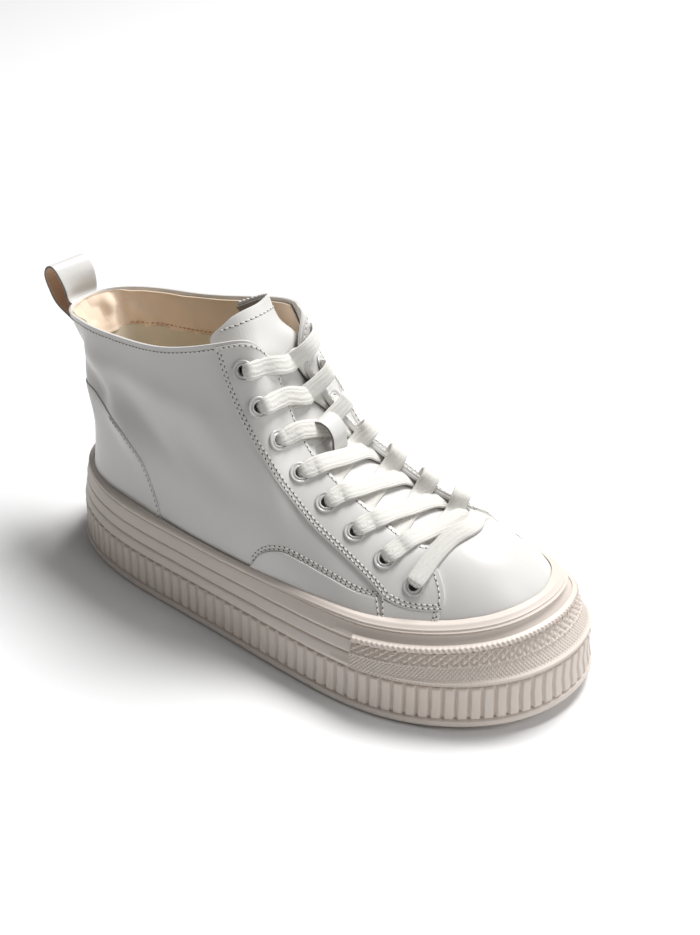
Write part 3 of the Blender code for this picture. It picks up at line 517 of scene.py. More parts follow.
# %% Ground outline and side levels, in millimetres
# outline (x, y): from the heel's back along the lateral side to the toe, and back medially
SOLE_OUTLINE = [
    (-141.5, 3), (-136, -13), (-120.5, -28.5), (-92, -40.5), (-52, -46.5), (-14, -50.5), (31, -55.5),
    (75, -56), (110, -45), (134, -25.5), (144.5, 6), (135.5, 35), (110, 51), (78, 57), (40, 56.5),
    (-3, 50), (-47, 45), (-92, 41.5), (-122.5, 33), (-137.5, 18.8),
]
SIDE_STATIONS = (-141.5, -95, -20, 65, 144.5)
SIDE_LEVELS = {
    #               z: heel, heel side, waist, ball, toe     inset: the same stations
    "ground":      ((0, 0, 0, 0, 0), (0, 0, 0, 0, 0)),
    "rib top":     ((20.4, 20.4, 20.4, 20.5, 21), (1, 0.6, 0.9, 1.2, 1.5)),
    "outsole top": ((27.2, 27.2, 27.2, 27.8, 29.6), (2.1, 1.2, 1.2, 2.8, 8)),
    "groove 2":    ((33.8, 33.8, 33.8, 34.6, 37.4), (3.1, 2, 2.2, 4.4, 11)),
    "groove 1":    ((40.9, 40.9, 40.9, 41.8, 44.4), (4.8, 3.2, 3.4, 7.6, 14.5)),
    "joint":       ((44.1, 44.1, 44.1, 45, 48), (7.8, 5.2, 4.8, 10.6, 18.5)),
}
SIDE_LEVELS["bead"] = np.mean([SIDE_LEVELS["groove 1"], SIDE_LEVELS["joint"]], axis=0)
HEIGHT, INSET = 0, 1
ground, _ = closed_spline(SOLE_OUTLINE)


def side_level(level, measure, x):
    """Height or inset of a level of the side at x, over the straight ground."""
    return np.interp(x, SIDE_STATIONS, SIDE_LEVELS[level][measure])


def ground_frame(u):
    """Point of the ground outline and the direction out of the sole there."""
    d = unit(ground(np.asarray(u) + 0.002) - ground(np.asarray(u) - 0.002))
    return ground(u), np.stack([d[:, 1], -d[:, 0]], axis=1)


def sole_points(u, profile, rows, extra=0.0):
    """Points round the sole: u is the place round the outline, rows the profile entry of each."""
    p, out = ground_frame(u)
    height, inward = np.zeros(len(u)), np.zeros(len(u))
    for k, (level, rise, inset) in enumerate(profile):
        here = rows == k
        height[here] = rise + side_level(level, HEIGHT, p[here, 0])
        inward[here] = inset + side_level(level, INSET, p[here, 0])
    return np.column_stack([p - out * (inward + extra)[:, None], height + toe_lift(p[:, 0])])


def profile_of(*groups):
    """Profile entries (level, height over it, inset from it) from groups that share a level."""
    return [(level, rise, inset) for level, steps in groups for rise, inset in steps]


RING_COUNT = 721
ring = ground(np.linspace(0, 1, RING_COUNT))
print("outline length (mm):", round(float(run_lengths(ring)[-1])))

# %% [markdown]
# The outsole stands on a smooth lip. Above it the ribs stand side by side like the staves of a
# barrel: flat-faced, with rounded shoulders and narrow valleys, and they end under a rounded
# bead that overhangs the valleys. One function of the place round the outline makes them all.

# %% Outsole: lip, ribs and bead
RIB_COUNT, RIB_DEPTH, COLUMNS_PER_RIB = 114, 1.45, 10
RIB_FLAT, RIB_SHOULDER, RIB_CROWN = 0.56, 0.34, 0.16        # shares of half a rib, and mm
OUTSOLE_PROFILE = profile_of(
    ("ground", [(0, 2.6), (0.25, 1.2), (0.9, 0.35), (1.8, 0), (2.9, 0.05), (3.6, 0.3), (3.95, 0.8),
                (4.1, 1.5), (4.4, 1.2), (5, 0.75), (6.2, 0.55)]),
    ("rib top", [(-9, 0.15), (-1.6, 0), (-0.7, 0.1), (-0.25, 0.35), (0, 0.8), (0.05, 1.6), (0.45, 1.75),
                 (0.75, 1.1), (1.2, 0.6), (2, 0.3), (3.2, 0.2)]),
    ("outsole top", [(-1.8, 0.1), (-0.9, 0.25), (-0.3, 0.7), (0, 1.4), (0, 3)]),
)
RIB_ROWS = (8, 15)
ARCH_RISE, ARCH_EASE, ARCH_FROM, ARCH_TO = 1.4, 14.0, -66.0, -30.0


def outsole_place(across, up):
    """Valleys between the ribs are cut into the profile rows that carry them."""
    rows = row_number(up, len(OUTSOLE_PROFILE) - 1)
    off = np.abs(np.mod(across * RIB_COUNT, 1.0) - 0.5) * 2
    valley = RIB_DEPTH * smooth_step((off - RIB_FLAT) / RIB_SHOULDER) + RIB_CROWN * off ** 2
    carried = (rows >= RIB_ROWS[0]) & (rows <= RIB_ROWS[1])
    return sole_points(across, OUTSOLE_PROFILE, rows, np.where(carried, valley, 0.0))


outsole = sheet("outsole_ribs", RIB_COUNT * COLUMNS_PER_RIB, len(OUTSOLE_PROFILE) - 1, outsole_place)
# the waist of the tread stands a little off the ground
points = vertices_of(outsole) / MM
edge = points[:, 2] < 0.2 + toe_lift(points[:, 0])
rise, fall = [smooth_step((points[edge, 0] - start) / ARCH_EASE) for start in (ARCH_FROM, ARCH_TO)]
points[edge, 2] += ARCH_RISE * (rise - fall)
put_vertices(outsole, points)
close_up(outsole, caps=True)
print("outsole rows:", len(OUTSOLE_PROFILE))

# %% Outsole: tread grooves cut underneath, then finish
TREAD_PITCH, GROOVE_WIDTH, GROOVE_HEIGHT, TREAD_RIM = 18.0, 2.4, 2.8, 8.0
WAIST_FROM, WAIST_TO = -70.0, -12.0           # no grooves under the waist
groove_cuts = []
for k in range(-7, 5):
    x = (k + 0.5) * TREAD_PITCH
    if WAIST_FROM < x < WAIST_TO:
        continue
    beside = ring[:-1][np.abs(ring[:-1, 0] - x) < 3.0]
    low = beside[beside[:, 1] < 0, 1].mean() + TREAD_RIM
    high = beside[beside[:, 1] > 0, 1].mean() - TREAD_RIM
    block = primitive(bpy.ops.mesh.primitive_cube_add, size=1)
    put_vertices(block, vertices_of(block) * (GROOVE_WIDTH, high - low, GROOVE_HEIGHT)
                 + (x, (low + high) / 2, float(toe_lift(x))))
    groove_cuts.append(block)
tread_cutter = join(groove_cuts)
cut_away(outsole, tread_cutter)
bpy.data.objects.remove(tread_cutter)
done(outsole, rubber, ["outsole"], 35)

# %% [markdown]
# Above the outsole lies the foxing, the rubber wall that joins sole to upper. It has two flat
# bands parted by narrow grooves and ends in a rounded top bead that hugs the leather. The bead
# is widest at mid-height, so it catches a long bright line of light. Its inner side has to
# follow the leather, so for each place round the sole the nearest section of the last is found.

# %% Where the leather meets the platform
def height_share(t, z):
    """v at which the upper's face reaches height z in each column t."""
    v = np.linspace(0.0, 0.6, 61)
    column = skin(np.asarray(t)[:, None], v[None, :])[..., 2]
    return np.array([np.interp(level, row, v) for level, row in zip(z, column)])


JOINT_HEIGHT, JOINT_COUNT, EASE = 46.0, 241, 5
JOINT_U = np.linspace(0, 1, JOINT_COUNT)
joint_ring = sole_points(JOINT_U, [("joint", 0.0, 0.0)], np.zeros(JOINT_COUNT, int))
every_t = np.linspace(0, STATIONS, 1801)[:-1]
leather_ring = skin(every_t, height_share(every_t, np.full(len(every_t), JOINT_HEIGHT)))
apart = np.linalg.norm(joint_ring[:, None, :2] - leather_ring[None, :, :2], axis=2)
joint_t = np.unwrap(every_t[np.argmin(apart, axis=1)], period=STATIONS)
# a moving mean round the ring takes out the steps of the search
joint_t = np.concatenate([joint_t[-EASE - 1:-1] - STATIONS, joint_t, joint_t[1:EASE + 1] + STATIONS])
joint_t = np.convolve(joint_t, np.ones(2 * EASE + 1) / (2 * EASE + 1), mode="valid")
print("sections beside the joint:", joint_t[[0, JOINT_COUNT // 2, -1]].round(1))

# %% Foxing bands and top bead
FOXING_PROFILE = profile_of(
    ("outsole top", [(0.2, 3.4), (0.2, 1.7), (0.45, 0.8), (0.9, 0.35), (2.2, 0.15)]),
    ("groove 2", [(-2.2, 0), (-0.9, 0.05), (-0.35, 0.3), (0, 0.9), (0.35, 0.55), (0.9, 0.2), (2.2, 0.05)]),
    ("groove 1", [(-2, 0), (-0.8, 0.05), (-0.3, 0.4), (0, 1), (0.12, 0.6), (0.4, 0), (0.95, -0.4)]),
    ("bead", [(-0.2, -1.25), (0.5, -1.2)]),
    ("joint", [(-0.65, -1.6), (-0.1, -1.1), (0.15, -0.45), (0.2, 0.1)]),
)
HUG_ROWS = [(0, 0.45), (-1.2, 0.15), (-4.5, 0.2)]       # height against the joint, play on the leather
FOXING_ROWS = len(FOXING_PROFILE) + len(HUG_ROWS)


def foxing_place(across, up):
    rows = row_number(up, FOXING_ROWS) % FOXING_ROWS
    point = sole_points(across, FOXING_PROFILE, rows)
    level = side_level("joint", HEIGHT, point[:, 0]) + toe_lift(point[:, 0])
    t = np.interp(across, JOINT_U, joint_t)
    for k, (rise, play) in enumerate(HUG_ROWS):
        here = rows == len(FOXING_PROFILE) + k
        point[here] = skin(t[here], height_share(t[here], level[here] + rise), play)
    return point


foxing = sheet("foxing", 480, FOXING_ROWS, foxing_place)
close_up(foxing)
done(foxing, rubber, ["midsole"], 50)

# %% [markdown]
# The toe wears most, so a strip of textured rubber is cured round it: a rope-like roll on top,
# rows of pyramids, and a fine knurl down to the ribs. The relief is real geometry, laid out in
# millimetres along and up the strip, because its shadows are what the eye reads.

# %% Toe bumper with its knurled relief
BUMPER_START_X = 62.0
ring_u = np.linspace(0, 1, 4001)[:-1]
toe_u = ring_u[ground(ring_u)[:, 0] > BUMPER_START_X]
BUMPER_FROM, BUMPER_TO = toe_u.min(), toe_u.max()
BUMPER_LENGTH = float(run_lengths(ground(np.linspace(BUMPER_FROM, BUMPER_TO, 801)))[-1])
# levels between the zones of the strip: height over a level of the side, and inset from it
BUMPER_LEVELS = [("rib top", 0.9, 0.9), ("outsole top", 2, 0.5), ("groove 2", 0, 0), ("groove 2", 3.3, 0)]
BUMPER_SHARES = [0, 0.50, 0.80, 1]                   # share of the rows at each level
BUMPER_COLUMNS, BUMPER_ROWS = 760, 90
KNURL_PITCH, PYRAMID_PITCH, ROPE_PITCH = 1.9, 4.6, 2.6      # mm along the strip
KNURL_TURNS, PYRAMID_TURNS, ROPE_SLANT = 4.5, 1.5, 0.9      # periods up each zone
KNURL_BASE, KNURL_RISE, PYRAMID_BASE, PYRAMID_RISE, ROLL_RISE, ROPE_RISE = 0.15, 0.75, 0.1, 1.7, 0.7, 0.9
LINE_RISE, LINE_SINK, LINE_WIDTH = 0.55, 0.35, 0.07         # mm, mm, share of the knurl's height
STRIP_IN, STRIP_OUT, STRIP_THICK, END_EASE = 0.8, 1.45, 1.2, 0.9      # mm
FOOT_EASE, TOP_EASE = 0.015, 0.03                           # shares of the rows


def saw(x):
    """Triangle wave, 0 at whole numbers and 1 between them."""
    return 1 - 2 * np.abs(np.mod(x, 1.0) - 0.5)


def diamonds(turn, rise):
    """Pyramids between two crossed sets of grooves."""
    return np.minimum(saw(turn + rise), saw(turn - rise))


def bumper_relief(s, zone):
    """Height of the texture at s millimetres along the strip; zone 0..1 is the knurl, 1..2 the
    pyramids, 2..3 the roll."""
    share = zone - np.floor(np.minimum(zone, 2.999))
    knurl = KNURL_BASE + KNURL_RISE * diamonds(s / KNURL_PITCH, share * KNURL_TURNS)
    line = (LINE_RISE * np.exp(-((1 - share) / LINE_WIDTH) ** 2)
            - LINE_SINK * np.exp(-(share / LINE_WIDTH) ** 2))
    pyramids = PYRAMID_BASE + PYRAMID_RISE * diamonds(s / PYRAMID_PITCH, share * PYRAMID_TURNS)
    swell = np.sqrt(np.sin(pi * share))
    roll = (ROLL_RISE + ROPE_RISE * saw(s / ROPE_PITCH + share * ROPE_SLANT)) * swell
    return np.where(zone < 1, knurl + line, np.where(zone < 2, pyramids, roll))


def bumper_place(across, up):
    # the last row turns back behind the strip and closes it
    behind = up > 1 - 0.5 / BUMPER_ROWS
    up = np.where(behind, 0.0, up * BUMPER_ROWS / (BUMPER_ROWS - 1))
    zone = np.interp(up, BUMPER_SHARES, [0, 1, 2, 3])
    p, out = ground_frame(BUMPER_FROM + across * (BUMPER_TO - BUMPER_FROM))
    k = np.minimum(zone.astype(int), 2)
    f, every = zone - k, np.arange(len(p))
    levels = [np.array([side_level(row[0], i, p[:, 0]) + row[1 + i] for row in BUMPER_LEVELS])
              for i in (HEIGHT, INSET)]
    z, d = [level[k, every] * (1 - f) + level[k + 1, every] * f for level in levels]
    s = across * BUMPER_LENGTH
    inside = smooth_step(s / END_EASE) * smooth_step((BUMPER_LENGTH - s) / END_EASE)
    inside = inside * smooth_step(up / FOOT_EASE) * smooth_step((1 - up) / TOP_EASE)
    d = d + STRIP_IN - (STRIP_OUT + bumper_relief(s, zone)) * inside + STRIP_THICK * behind
    return np.column_stack([p - out * d[:, None], z + toe_lift(p[:, 0])])


bumper = sheet("toe_bumper_knurled", BUMPER_COLUMNS, BUMPER_ROWS, bumper_place)
close_up(bumper, caps=True)
done(bumper, rubber, ["toe_bumper"], 60)
print("bumper length (mm):", round(BUMPER_LENGTH))

# %% [markdown]
# ## The upper
# The shell is one sheet of leather laid round the last. Its bottom goes down into the foxing,
# and its top edge is turned and rounded. The lining is a second sheet inside it, and ends just
# under the edge.

# %% Where the eyelets sit on the leather, and the pins that punch their holes
PIN_RADIUS, PIN_LENGTH = 2.9, 12.0


def side_t(t, side):
    """Section count on the lateral (-1) or medial (1) side."""
    return t if side < 0 else STATIONS - t


def eyelet_place(row):
    return [np.interp(row, np.arange(ROWS), column) for column in EYELET_PLACES.T]


def eyelet_point(row, side, lift=0.0):
    t, v = eyelet_place(row)
    return skin(side_t(t, side), v, lift)


def eyelet_frame(row, side):
    """Centre on the leather, outward axis and two axes across it."""
    centre = eyelet_point(row, side)
    axis = unit(eyelet_point(row, side, 1.0) - centre)
    sideways = unit(np.cross(axis, (0.0, 0.0, 1.0)))
    return centre, axis, sideways, np.cross(axis, sideways)


def set_on(points, axes, lift=0.0):
    """Points modelled at the origin, Z up, moved on to a frame on the leather."""
    centre, axis, across, along = axes
    return centre + axis * lift + points[:, [0]] * across + points[:, [1]] * along + points[:, [2]] * axis


pins = []
for side, _ in SIDES:
    for row in range(ROWS):
        pins.append(primitive(bpy.ops.mesh.primitive_cylinder_add, vertices=16, radius=PIN_RADIUS * MM,
                              depth=PIN_LENGTH * MM))
        put_vertices(pins[-1], set_on(vertices_of(pins[-1]) / MM, eyelet_frame(row, side)))
punch = join(pins)
print("eyelet holes:", 2 * ROWS)

# %% Shell of the upper
shell = sheet("upper_shell", 360, 96, lambda across, up: skin(across * STATIONS, up ** 0.9))
thicken(shell, 1.5)
round_edges(shell, 0.7, 4, 50)
cut_away(shell, punch)
done(shell, leather, ["upper"], 50)

# %% [markdown]
# The lining hangs inside the shell. Near the heel the soft split leather has been gathered
# where it turns over the collar, so short wrinkles run down from the edge there. Lower down
# a seam joins it to a greyer cotton. Both linings stop below the eyelets, where the facings'
# own leather shows inside.

# %% Lining: collar part and lower part
LINING_SEAM, LINING_THICK, LINING_CLEAR, LOWER_DEPTH = 0.76, 0.5, 1.75, 2.6
COLLAR_DEPTH, COLLAR_HOLLOW, SEAM_STEP, EDGE_STEP = 2.0, 0.4, 0.4, 0.6          # mm
SEAM_EASE, EDGE_EASE = 0.1, 0.05                     # shares of the collar part's height
FOLD_HEIGHT, FOLD_REACH_T, FOLD_REACH_V, FOLD_V = 1.7, 2.6, 0.12, 0.88
FOLDS = [(1, 6, 5, 0), (0.7, 9.7, 21, 1.3), (0.6, 3.1, -30, 0)]     # share, waves in t and v, start
LINING_TOP = [(0, 0.985), (5.9, 0.985), (6.5, 0.74), (7, 0.66), (8, 0.59), (10.5, 0.64), (12.9, 0.44),
              (13.6, 0.40), (16, 0.40)]


def lining_top(t):
    """Share v where the lining ends: at the collar's edge, and below the eyelets at the throat."""
    count = np.minimum(np.mod(t, STATIONS), STATIONS - np.mod(t, STATIONS))
    return np.interp(count, *zip(*LINING_TOP))


def lining_wrinkle(t, v):
    """Short folds at the heel, fading forward and down."""
    t = np.mod(t + STATIONS / 2, STATIONS) - STATIONS / 2
    reach = np.exp(-(t / FOLD_REACH_T) ** 2) * np.exp(-((v - FOLD_V) / FOLD_REACH_V) ** 2)
    return FOLD_HEIGHT * reach * sum(share * np.sin(t * a + v * b + start) for share, a, b, start in FOLDS)


def collar_lining_place(across, up):
    t = across * STATIONS
    top = lining_top(t)
    foot = np.minimum(LINING_SEAM, top - 0.01)
    v = foot + (top - foot) * up
    depth = (COLLAR_DEPTH + COLLAR_HOLLOW * np.sin(pi * up) + SEAM_STEP * (1 - smooth_step(up / SEAM_EASE))
             + EDGE_STEP * smooth_step((up - 1 + EDGE_EASE) / EDGE_EASE))
    return skin(t, v, -np.maximum(depth + lining_wrinkle(t, v), LINING_CLEAR))


def lower_lining_place(across, up):
    t = across * STATIONS
    return skin(t, 0.01 + np.minimum(LINING_SEAM, lining_top(t) - 0.02) * up, -LOWER_DEPTH)


for name, place, cloth, columns, rows in (
        ("collar_lining", collar_lining_place, lining, 300, 56),
        ("lower_lining", lower_lining_place, sock_lining, 200, 36)):
    piece = sheet(name, columns, rows, place)
    thicken(piece, LINING_THICK)
    done(piece, cloth, [], 60)

# %% [markdown]
# The footbed is a flat sock of cloth-covered foam, so it is padded a little at the middle and
# its edge is rounded.

# %% Footbed
FOOTBED_TOP, FOOTBED_PAD, FOOTBED_EDGE, FOOTBED_THICK, FOOTBED_IN = 3.9, 0.6, 1.2, 2.0, 2.8      # mm
FOOTBED_V, FOOTBED_EASE = 0.02, 0.08


def footbed_place(across, up):
    rim = skin(across * STATIONS, FOOTBED_V, -FOOTBED_IN)
    rim[:, 2] = CUP_FLOOR + FOOTBED_TOP + toe_lift(rim[:, 0])
    middle = np.column_stack([rim[:, 0], centre_line(rim[:, 0]), rim[:, 2] + FOOTBED_PAD])
    point = rim * (1 - up[:, None]) + middle * up[:, None]
    point[:, 2] -= FOOTBED_EDGE * (1 - smooth_step(up / FOOTBED_EASE))
    return point


footbed = sheet("footbed", 180, 20, footbed_place)
thicken(footbed, FOOTBED_THICK)
done(footbed, sock_lining, ["insole"], 60)

# %% [markdown]
# ## Overlays
# Facing, side panel, tip panel and counter are cut from the same leather and laid on the shell.
# Each is bounded by four curves drawn in t and v, and a patch between the four curves gives
# the cut piece, so that its outline is exactly the drawn one.

# %% Patches on the last
T_TO_V = (1.0, 6.0)          # weights that make a step in t as long as a step in v
EDGE_ROUNDING = 0.46         # share of the leather's thickness


def even_path(points, count=241):
    """A smooth curve with its points spread evenly along its length in t and v."""
    path = smooth_path(points, 40 * len(points))
    s = run_lengths(path * T_TO_V)
    return between(np.linspace(0, s[-1], count), s, path)


def read(path, share):
    return between(share, np.linspace(0, 1, len(path)), path)


def patch(bottom, top, left, right, across, up):
    """Point of the patch between four curves of t and v."""
    a, u = across[:, None], up[:, None]
    corners = ((1 - a) * (1 - u) * bottom[0] + a * (1 - u) * bottom[-1]
               + (1 - a) * u * top[0] + a * u * top[-1])
    return ((1 - u) * read(bottom, across) + u * read(top, across)
            + (1 - a) * read(left, up) + a * read(right, up) - corners)


def overlay(name, node, side, curves, columns, rows, lift, thick, punched=False):
    """A cut piece of leather laid on one side of the shell."""
    edges = [even_path(c) for c in curves]

    def place(across, up):
        tv = patch(*edges, across if side < 0 else 1 - across, up)
        return skin(side_t(tv[:, 0], side), tv[:, 1], lift)
    piece = sheet(name, columns, rows, place)
    thicken(piece, thick)
    round_edges(piece, EDGE_ROUNDING * thick, 3, 50)
    if punched:
        cut_away(piece, punch)
    done(piece, leather, [node], 50)


# %% Facings that carry the eyelets
FACING_LIFT = 1.15
FACING_REAR = [
    (5.66, 0.985), (5.87, 0.84), (6.30, 0.705), (6.98, 0.590), (7.90, 0.526), (9.25, 0.530), (10.4, 0.534),
    (11.10, 0.503), (11.62, 0.452), (11.95, 0.392), (12.5, 0.372), (13.05, 0.377), (13.42, 0.38),
]
FACING_TOP = [(5.66, 0.985)] + [(t, 0.988) for t in (6.6, 7.4, 9, 11, 12.6)] + [(13.42, 0.985)]
FACING_CORNER = [(5.66, 0.985), (5.66, 0.985)]
FACING_FRONT = [(13.42, 0.38), (13.54, 0.45), (13.61, 0.56), (13.60, 0.70), (13.54, 0.85), (13.42, 0.985)]
FACING = (FACING_REAR, FACING_TOP, FACING_CORNER, FACING_FRONT)
for side, word in SIDES:
    overlay("facing_" + word, "eyestay_" + word, side, FACING, 260, 28, FACING_LIFT, 1.2, punched=True)

# %% [markdown]
# The side panel, the tip panel and the counter stand on the sole's bead. Their upper edges are
# rounded over, so they swell from the shell without a hard step.

# %% Side panels, tip panels and counters: lower, upper, rear and front edge
PANEL_LIFT, COUNTER_LIFT = 0.95, 0.6
SIDE_PANEL = (
    [(5.80, 0.09), (7.5, 0.07), (9.5, 0.09), (11, 0.10), (11.66, 0.12)],
    [(5.95, 0.125), (6.43, 0.212), (7.1, 0.258), (8.2, 0.272), (9.98, 0.315), (10.9, 0.335), (11.72, 0.368)],
    [(5.80, 0.09), (5.95, 0.125)],
    [(11.66, 0.12), (11.68, 0.20), (11.70, 0.28), (11.72, 0.368)],
)
TIP_PANEL = (
    [(11.70, 0.12), (12.3, 0.12), (13.04, 0.12)],
    [(11.86, 0.380), (12.5, 0.374), (13.42, 0.388)],
    [(11.70, 0.12), (11.74, 0.20), (11.86, 0.380)],
    [(13.04, 0.12), (13.20, 0.21), (13.33, 0.30), (13.42, 0.388)],
)
COUNTER = (
    [(0, 0.09), (1.2, 0.10), (2.4, 0.10), (3.66, 0.09)],
    [(0, 0.63), (0.9, 0.622), (1.7, 0.604), (2.50, 0.548)],
    [(0, 0.09), (0, 0.36), (0, 0.63)],
    [(3.66, 0.09), (3.54, 0.228), (3.37, 0.36), (3.14, 0.436), (2.87, 0.500), (2.50, 0.548)],
)
for side, word in SIDES:
    overlay("side_panel_" + word, "quarter_" + word, side, SIDE_PANEL, 130, 20, PANEL_LIFT, 1.0)
    overlay("tip_panel_" + word, "tip_" + word, side, TIP_PANEL, 36, 22, PANEL_LIFT, 1.0)
    overlay("counter_panel_" + word, "counter_" + word, side, COUNTER, 70, 40, COUNTER_LIFT, 0.8)

# %% [markdown]
# ## Stitches
# Lockstitch in stout thread: each stitch is a short fat bead of thread that dips into a needle
# hole at both ends. The holes are not cut: a dark flattened ball on the leather paints each
# hole's shade. One bead and one dark ball are modelled once and repeated along every seam as one
# joined mesh.

# %% One stitch, and one dark ball of painted needle-hole shade
def small_ball(name, segments, rings, length, width, height):
    """A stretched ball, its long axis along X."""
    ball = primitive(bpy.ops.mesh.primitive_uv_sphere_add, name, segments=segments, ring_count=rings,
                     radius=0.5)
    ball.rotation_euler = (0.0, radians(90), 0.0)
    bpy.ops.object.transform_apply(rotation=True)
    put_vertices(ball, vertices_of(ball) * (length, width, height))
    return ball


STITCH_PITCH, HOLE_SLANT = 2.6, 25.0
EDGE_BAND = 0.03             # share of the height over which the leather is taken as flat
stitch = small_ball("stitch", 8, 6, 1.9, 0.8, 0.6)
# a dark flattened ball laid on the leather: painted shade where a needle hole is
hole = small_ball("hole", 8, 4, 1.2, 0.6, 0.3)
only(hole)
bpy.ops.transform.rotate(value=radians(HOLE_SLANT), orient_axis="Z", center_override=(0, 0, 0))
bpy.ops.object.transform_apply(rotation=True)
print("faces of one stitch:", len(stitch.data.polygons))
stitch_places, hole_shade_places, lining_places = [], [], []


def sew(p, out, shift, start=0.0, into=(stitch_places, hole_shade_places)):
    """Lay a row of stitches, with dark balls of painted needle-hole shade between them, along
    points p with outward directions out; shift moves the row sideways, start along it by a share
    of one stitch."""
    run = unit(np.gradient(p, axis=0))
    p = p + np.cross(out, run) * shift
    s = run_lengths(p)
    for places, first in zip(into, (0.5, 1.0)):          # a dark ball of painted hole shade between two stitches
        at = np.arange((first + start) * STITCH_PITCH, s[-1], STITCH_PITCH)
        rows = [between(at, s, p), unit(between(at, s, run)), unit(between(at, s, out))]
        places.append(np.stack(rows, axis=1))


def sew_leather(places, side, lift, shifts):
    """Staggered rows of stitches along a curve of t and v; shifts to its upper side."""
    tv = even_path(places)
    t = side_t(tv[:, 0], side)
    p = skin(t, tv[:, 1], lift)
    out = skin(t, tv[:, 1], lift + 1.0) - p
    for k, shift in enumerate(shifts):
        sew(p, out, -side * shift, 0.5 * k)


def below_edge(t, distance):
    """t and v of a curve that runs a distance in millimetres under the top edge."""
    reach = np.linalg.norm(skin(t, 1.0) - skin(t, 1 - EDGE_BAND), axis=1)
    return list(zip(t, 1 - EDGE_BAND * distance / reach))


# %% Rows of stitches on every seam
DOUBLE = (1.1, 2.7)          # mm of the two rows from the edge
SEAMS = [                    # curve, lift of the leather it runs on, and its rows
    (FACING_REAR[:-3], FACING_LIFT, DOUBLE), (FACING_REAR[-4:], FACING_LIFT, DOUBLE),
    (FACING_FRONT[:-1], FACING_LIFT, (2.3,)), (SIDE_PANEL[1], 0, (1, 2.4)),
    (TIP_PANEL[2], PANEL_LIFT, (-0.7,)), (SIDE_PANEL[3], PANEL_LIFT, (0.4,)),
    (TIP_PANEL[3], PANEL_LIFT, (1.3, 2.6)),
    (COUNTER[3][::-1], 0, (-1,)), (COUNTER[3], COUNTER_LIFT, (1,)),
    (below_edge(np.linspace(0.6, 5.7, 40), 2.6), 0, (0,)),
    (below_edge(np.linspace(5.8, 13.6, 120), 2.2), FACING_LIFT, (0,)),
]
LINING_FACE = -3.1           # mm of the lining's face from the shell's
for side, _ in SIDES:
    for curve, lift, shifts in SEAMS:
        sew_leather(curve, side, lift, shifts)
    seam_t, seam_v = side_t(np.linspace(1.0, 11.0, 60), side), np.full(60, LINING_SEAM + 0.025)
    p = skin(seam_t, seam_v, LINING_FACE)
    sew(p, skin(seam_t, seam_v, LINING_FACE - 1) - p, 0.0, into=(lining_places,))
print("rows of stitches:", len(stitch_places))

# %% [markdown]
# ## Tongue
# The tongue is leather on wool felt. Its shape comes from the facings: at each lace row it runs
# under both throat edges and swells a little between them, and above the top row it stands
# free and leans forward. The leather's top edge is pinked, cut in small saw teeth, and the felt
# shows behind it as a grey layer.

# %% Lacing frame: places between the two rows of eyelets
TONGUE_DEPTH, TONGUE_FOOT, CROWN_RISE = 3.8, 91.0, 2.0
WING_SHARE, WING_END, MEDIAL_SINK = 0.7, -0.6, 3.2          # where the tongue lies under the facings


def row_direction(row, side):
    """Unit vector down the row of eyelets."""
    row = min(max(row, 0.5), ROWS - 1.5)
    return unit(eyelet_point(row + 0.5, side) - eyelet_point(row - 0.5, side))


def throat_count(row, side):
    """Section count t of the throat's edge square across from a lace row."""
    t = np.linspace(7.0, 14.4, 741)
    reach = skin(side_t(t, side), 1.0) - eyelet_point(row, side)
    off = np.abs(reach @ row_direction(row, side)) + 0.001 * np.linalg.norm(reach, axis=1)
    return t[int(np.argmin(off))]


def flap_point(row, side, share, lift, lipped=True):
    """Point on a facing: share 0 at the eyelets, 1 at the throat's edge, below 0 behind them."""
    t, v = eyelet_place(row)
    edge = throat_count(row, side)
    t, v = t + (edge - t) * share, v + (1.0 - v) * share
    return skin(side_t(t, side), v, lift, lipped)


def flap_chord(row, side, share, lift, lipped=True):
    """Point on the straight line across a facing, from its eyelets (0) to the throat's edge (1)."""
    eyelets, edge = [flap_point(row, side, end, lift, lipped) for end in (0.0, 1.0)]
    return eyelets * (1 - share) + edge * share


def crown(row):
    """Middle of the tongue's face at a lace row, and the direction it looks to."""
    lateral, medial = [flap_point(row, side, 1.0, -TONGUE_DEPTH, False) for side in (-1, 1)]
    out = unit(np.cross(row_direction(row, -1) + row_direction(row, 1), medial - lateral))
    return (lateral + medial) / 2 + out * CROWN_RISE, out


def tongue_section(row, count):
    """Points across the tongue's face at a lace row, from the lateral to the medial edge."""
    lateral, medial = [[flap_point(row, side, WING_END, -TONGUE_DEPTH - max(MEDIAL_SINK * side, 0.0), False),
                        flap_point(row, side, WING_SHARE, -TONGUE_DEPTH, False)] for side in (-1, 1)]
    return smooth_path(lateral + [crown(row)[0]] + medial[::-1], count)


def vamp_section(x, count):
    """Points across the tongue's face under the vamp at x."""
    v = np.linspace(0.5, 1.0, 51)
    columns = [skin(t, v, -TONGUE_DEPTH, False) for t in (12.9, 14.0, 15.0, 16.0, 17.1)]
    return smooth_path([between([-x], -column[:, 0], column)[0] for column in columns], count)


print("tongue's middle at the top eyelets:", crown(0)[0].round(1))

# %% Tongue: leather face and felt back
TONGUE_TOP = [
    [(-36, -25.5, 140), (-23.5, -16, 145), (-19.5, -4, 146), (-23, 8.5, 143), (-38, 15, 131)],
    [(-35.5, -22, 147.5), (-29, -13, 153), (-26, -3, 154.6), (-29.5, 8, 153.8), (-50.5, 12.5, 141.5)],
]
ACROSS, UP = 33, 121                             # points of the tongue's grid
CORNER_SHARE, CORNER_DROP = 0.2, 0.055           # rounded lateral corner at the top
PINKING = 33                                     # saw teeth across the top edge
PINKED_FROM, PINKED_OVER, PINKED_ROW, PINKED_ROWS = 0.55, 0.08, 0.97, 0.02      # shares, across and up
tongue_rows = [vamp_section(TONGUE_FOOT, ACROSS)]
tongue_rows += [tongue_section(row, ACROSS) for row in np.linspace(ROWS - 1.5, 0, 13)]
tongue_rows += [smooth_path(section, ACROSS) for section in TONGUE_TOP]
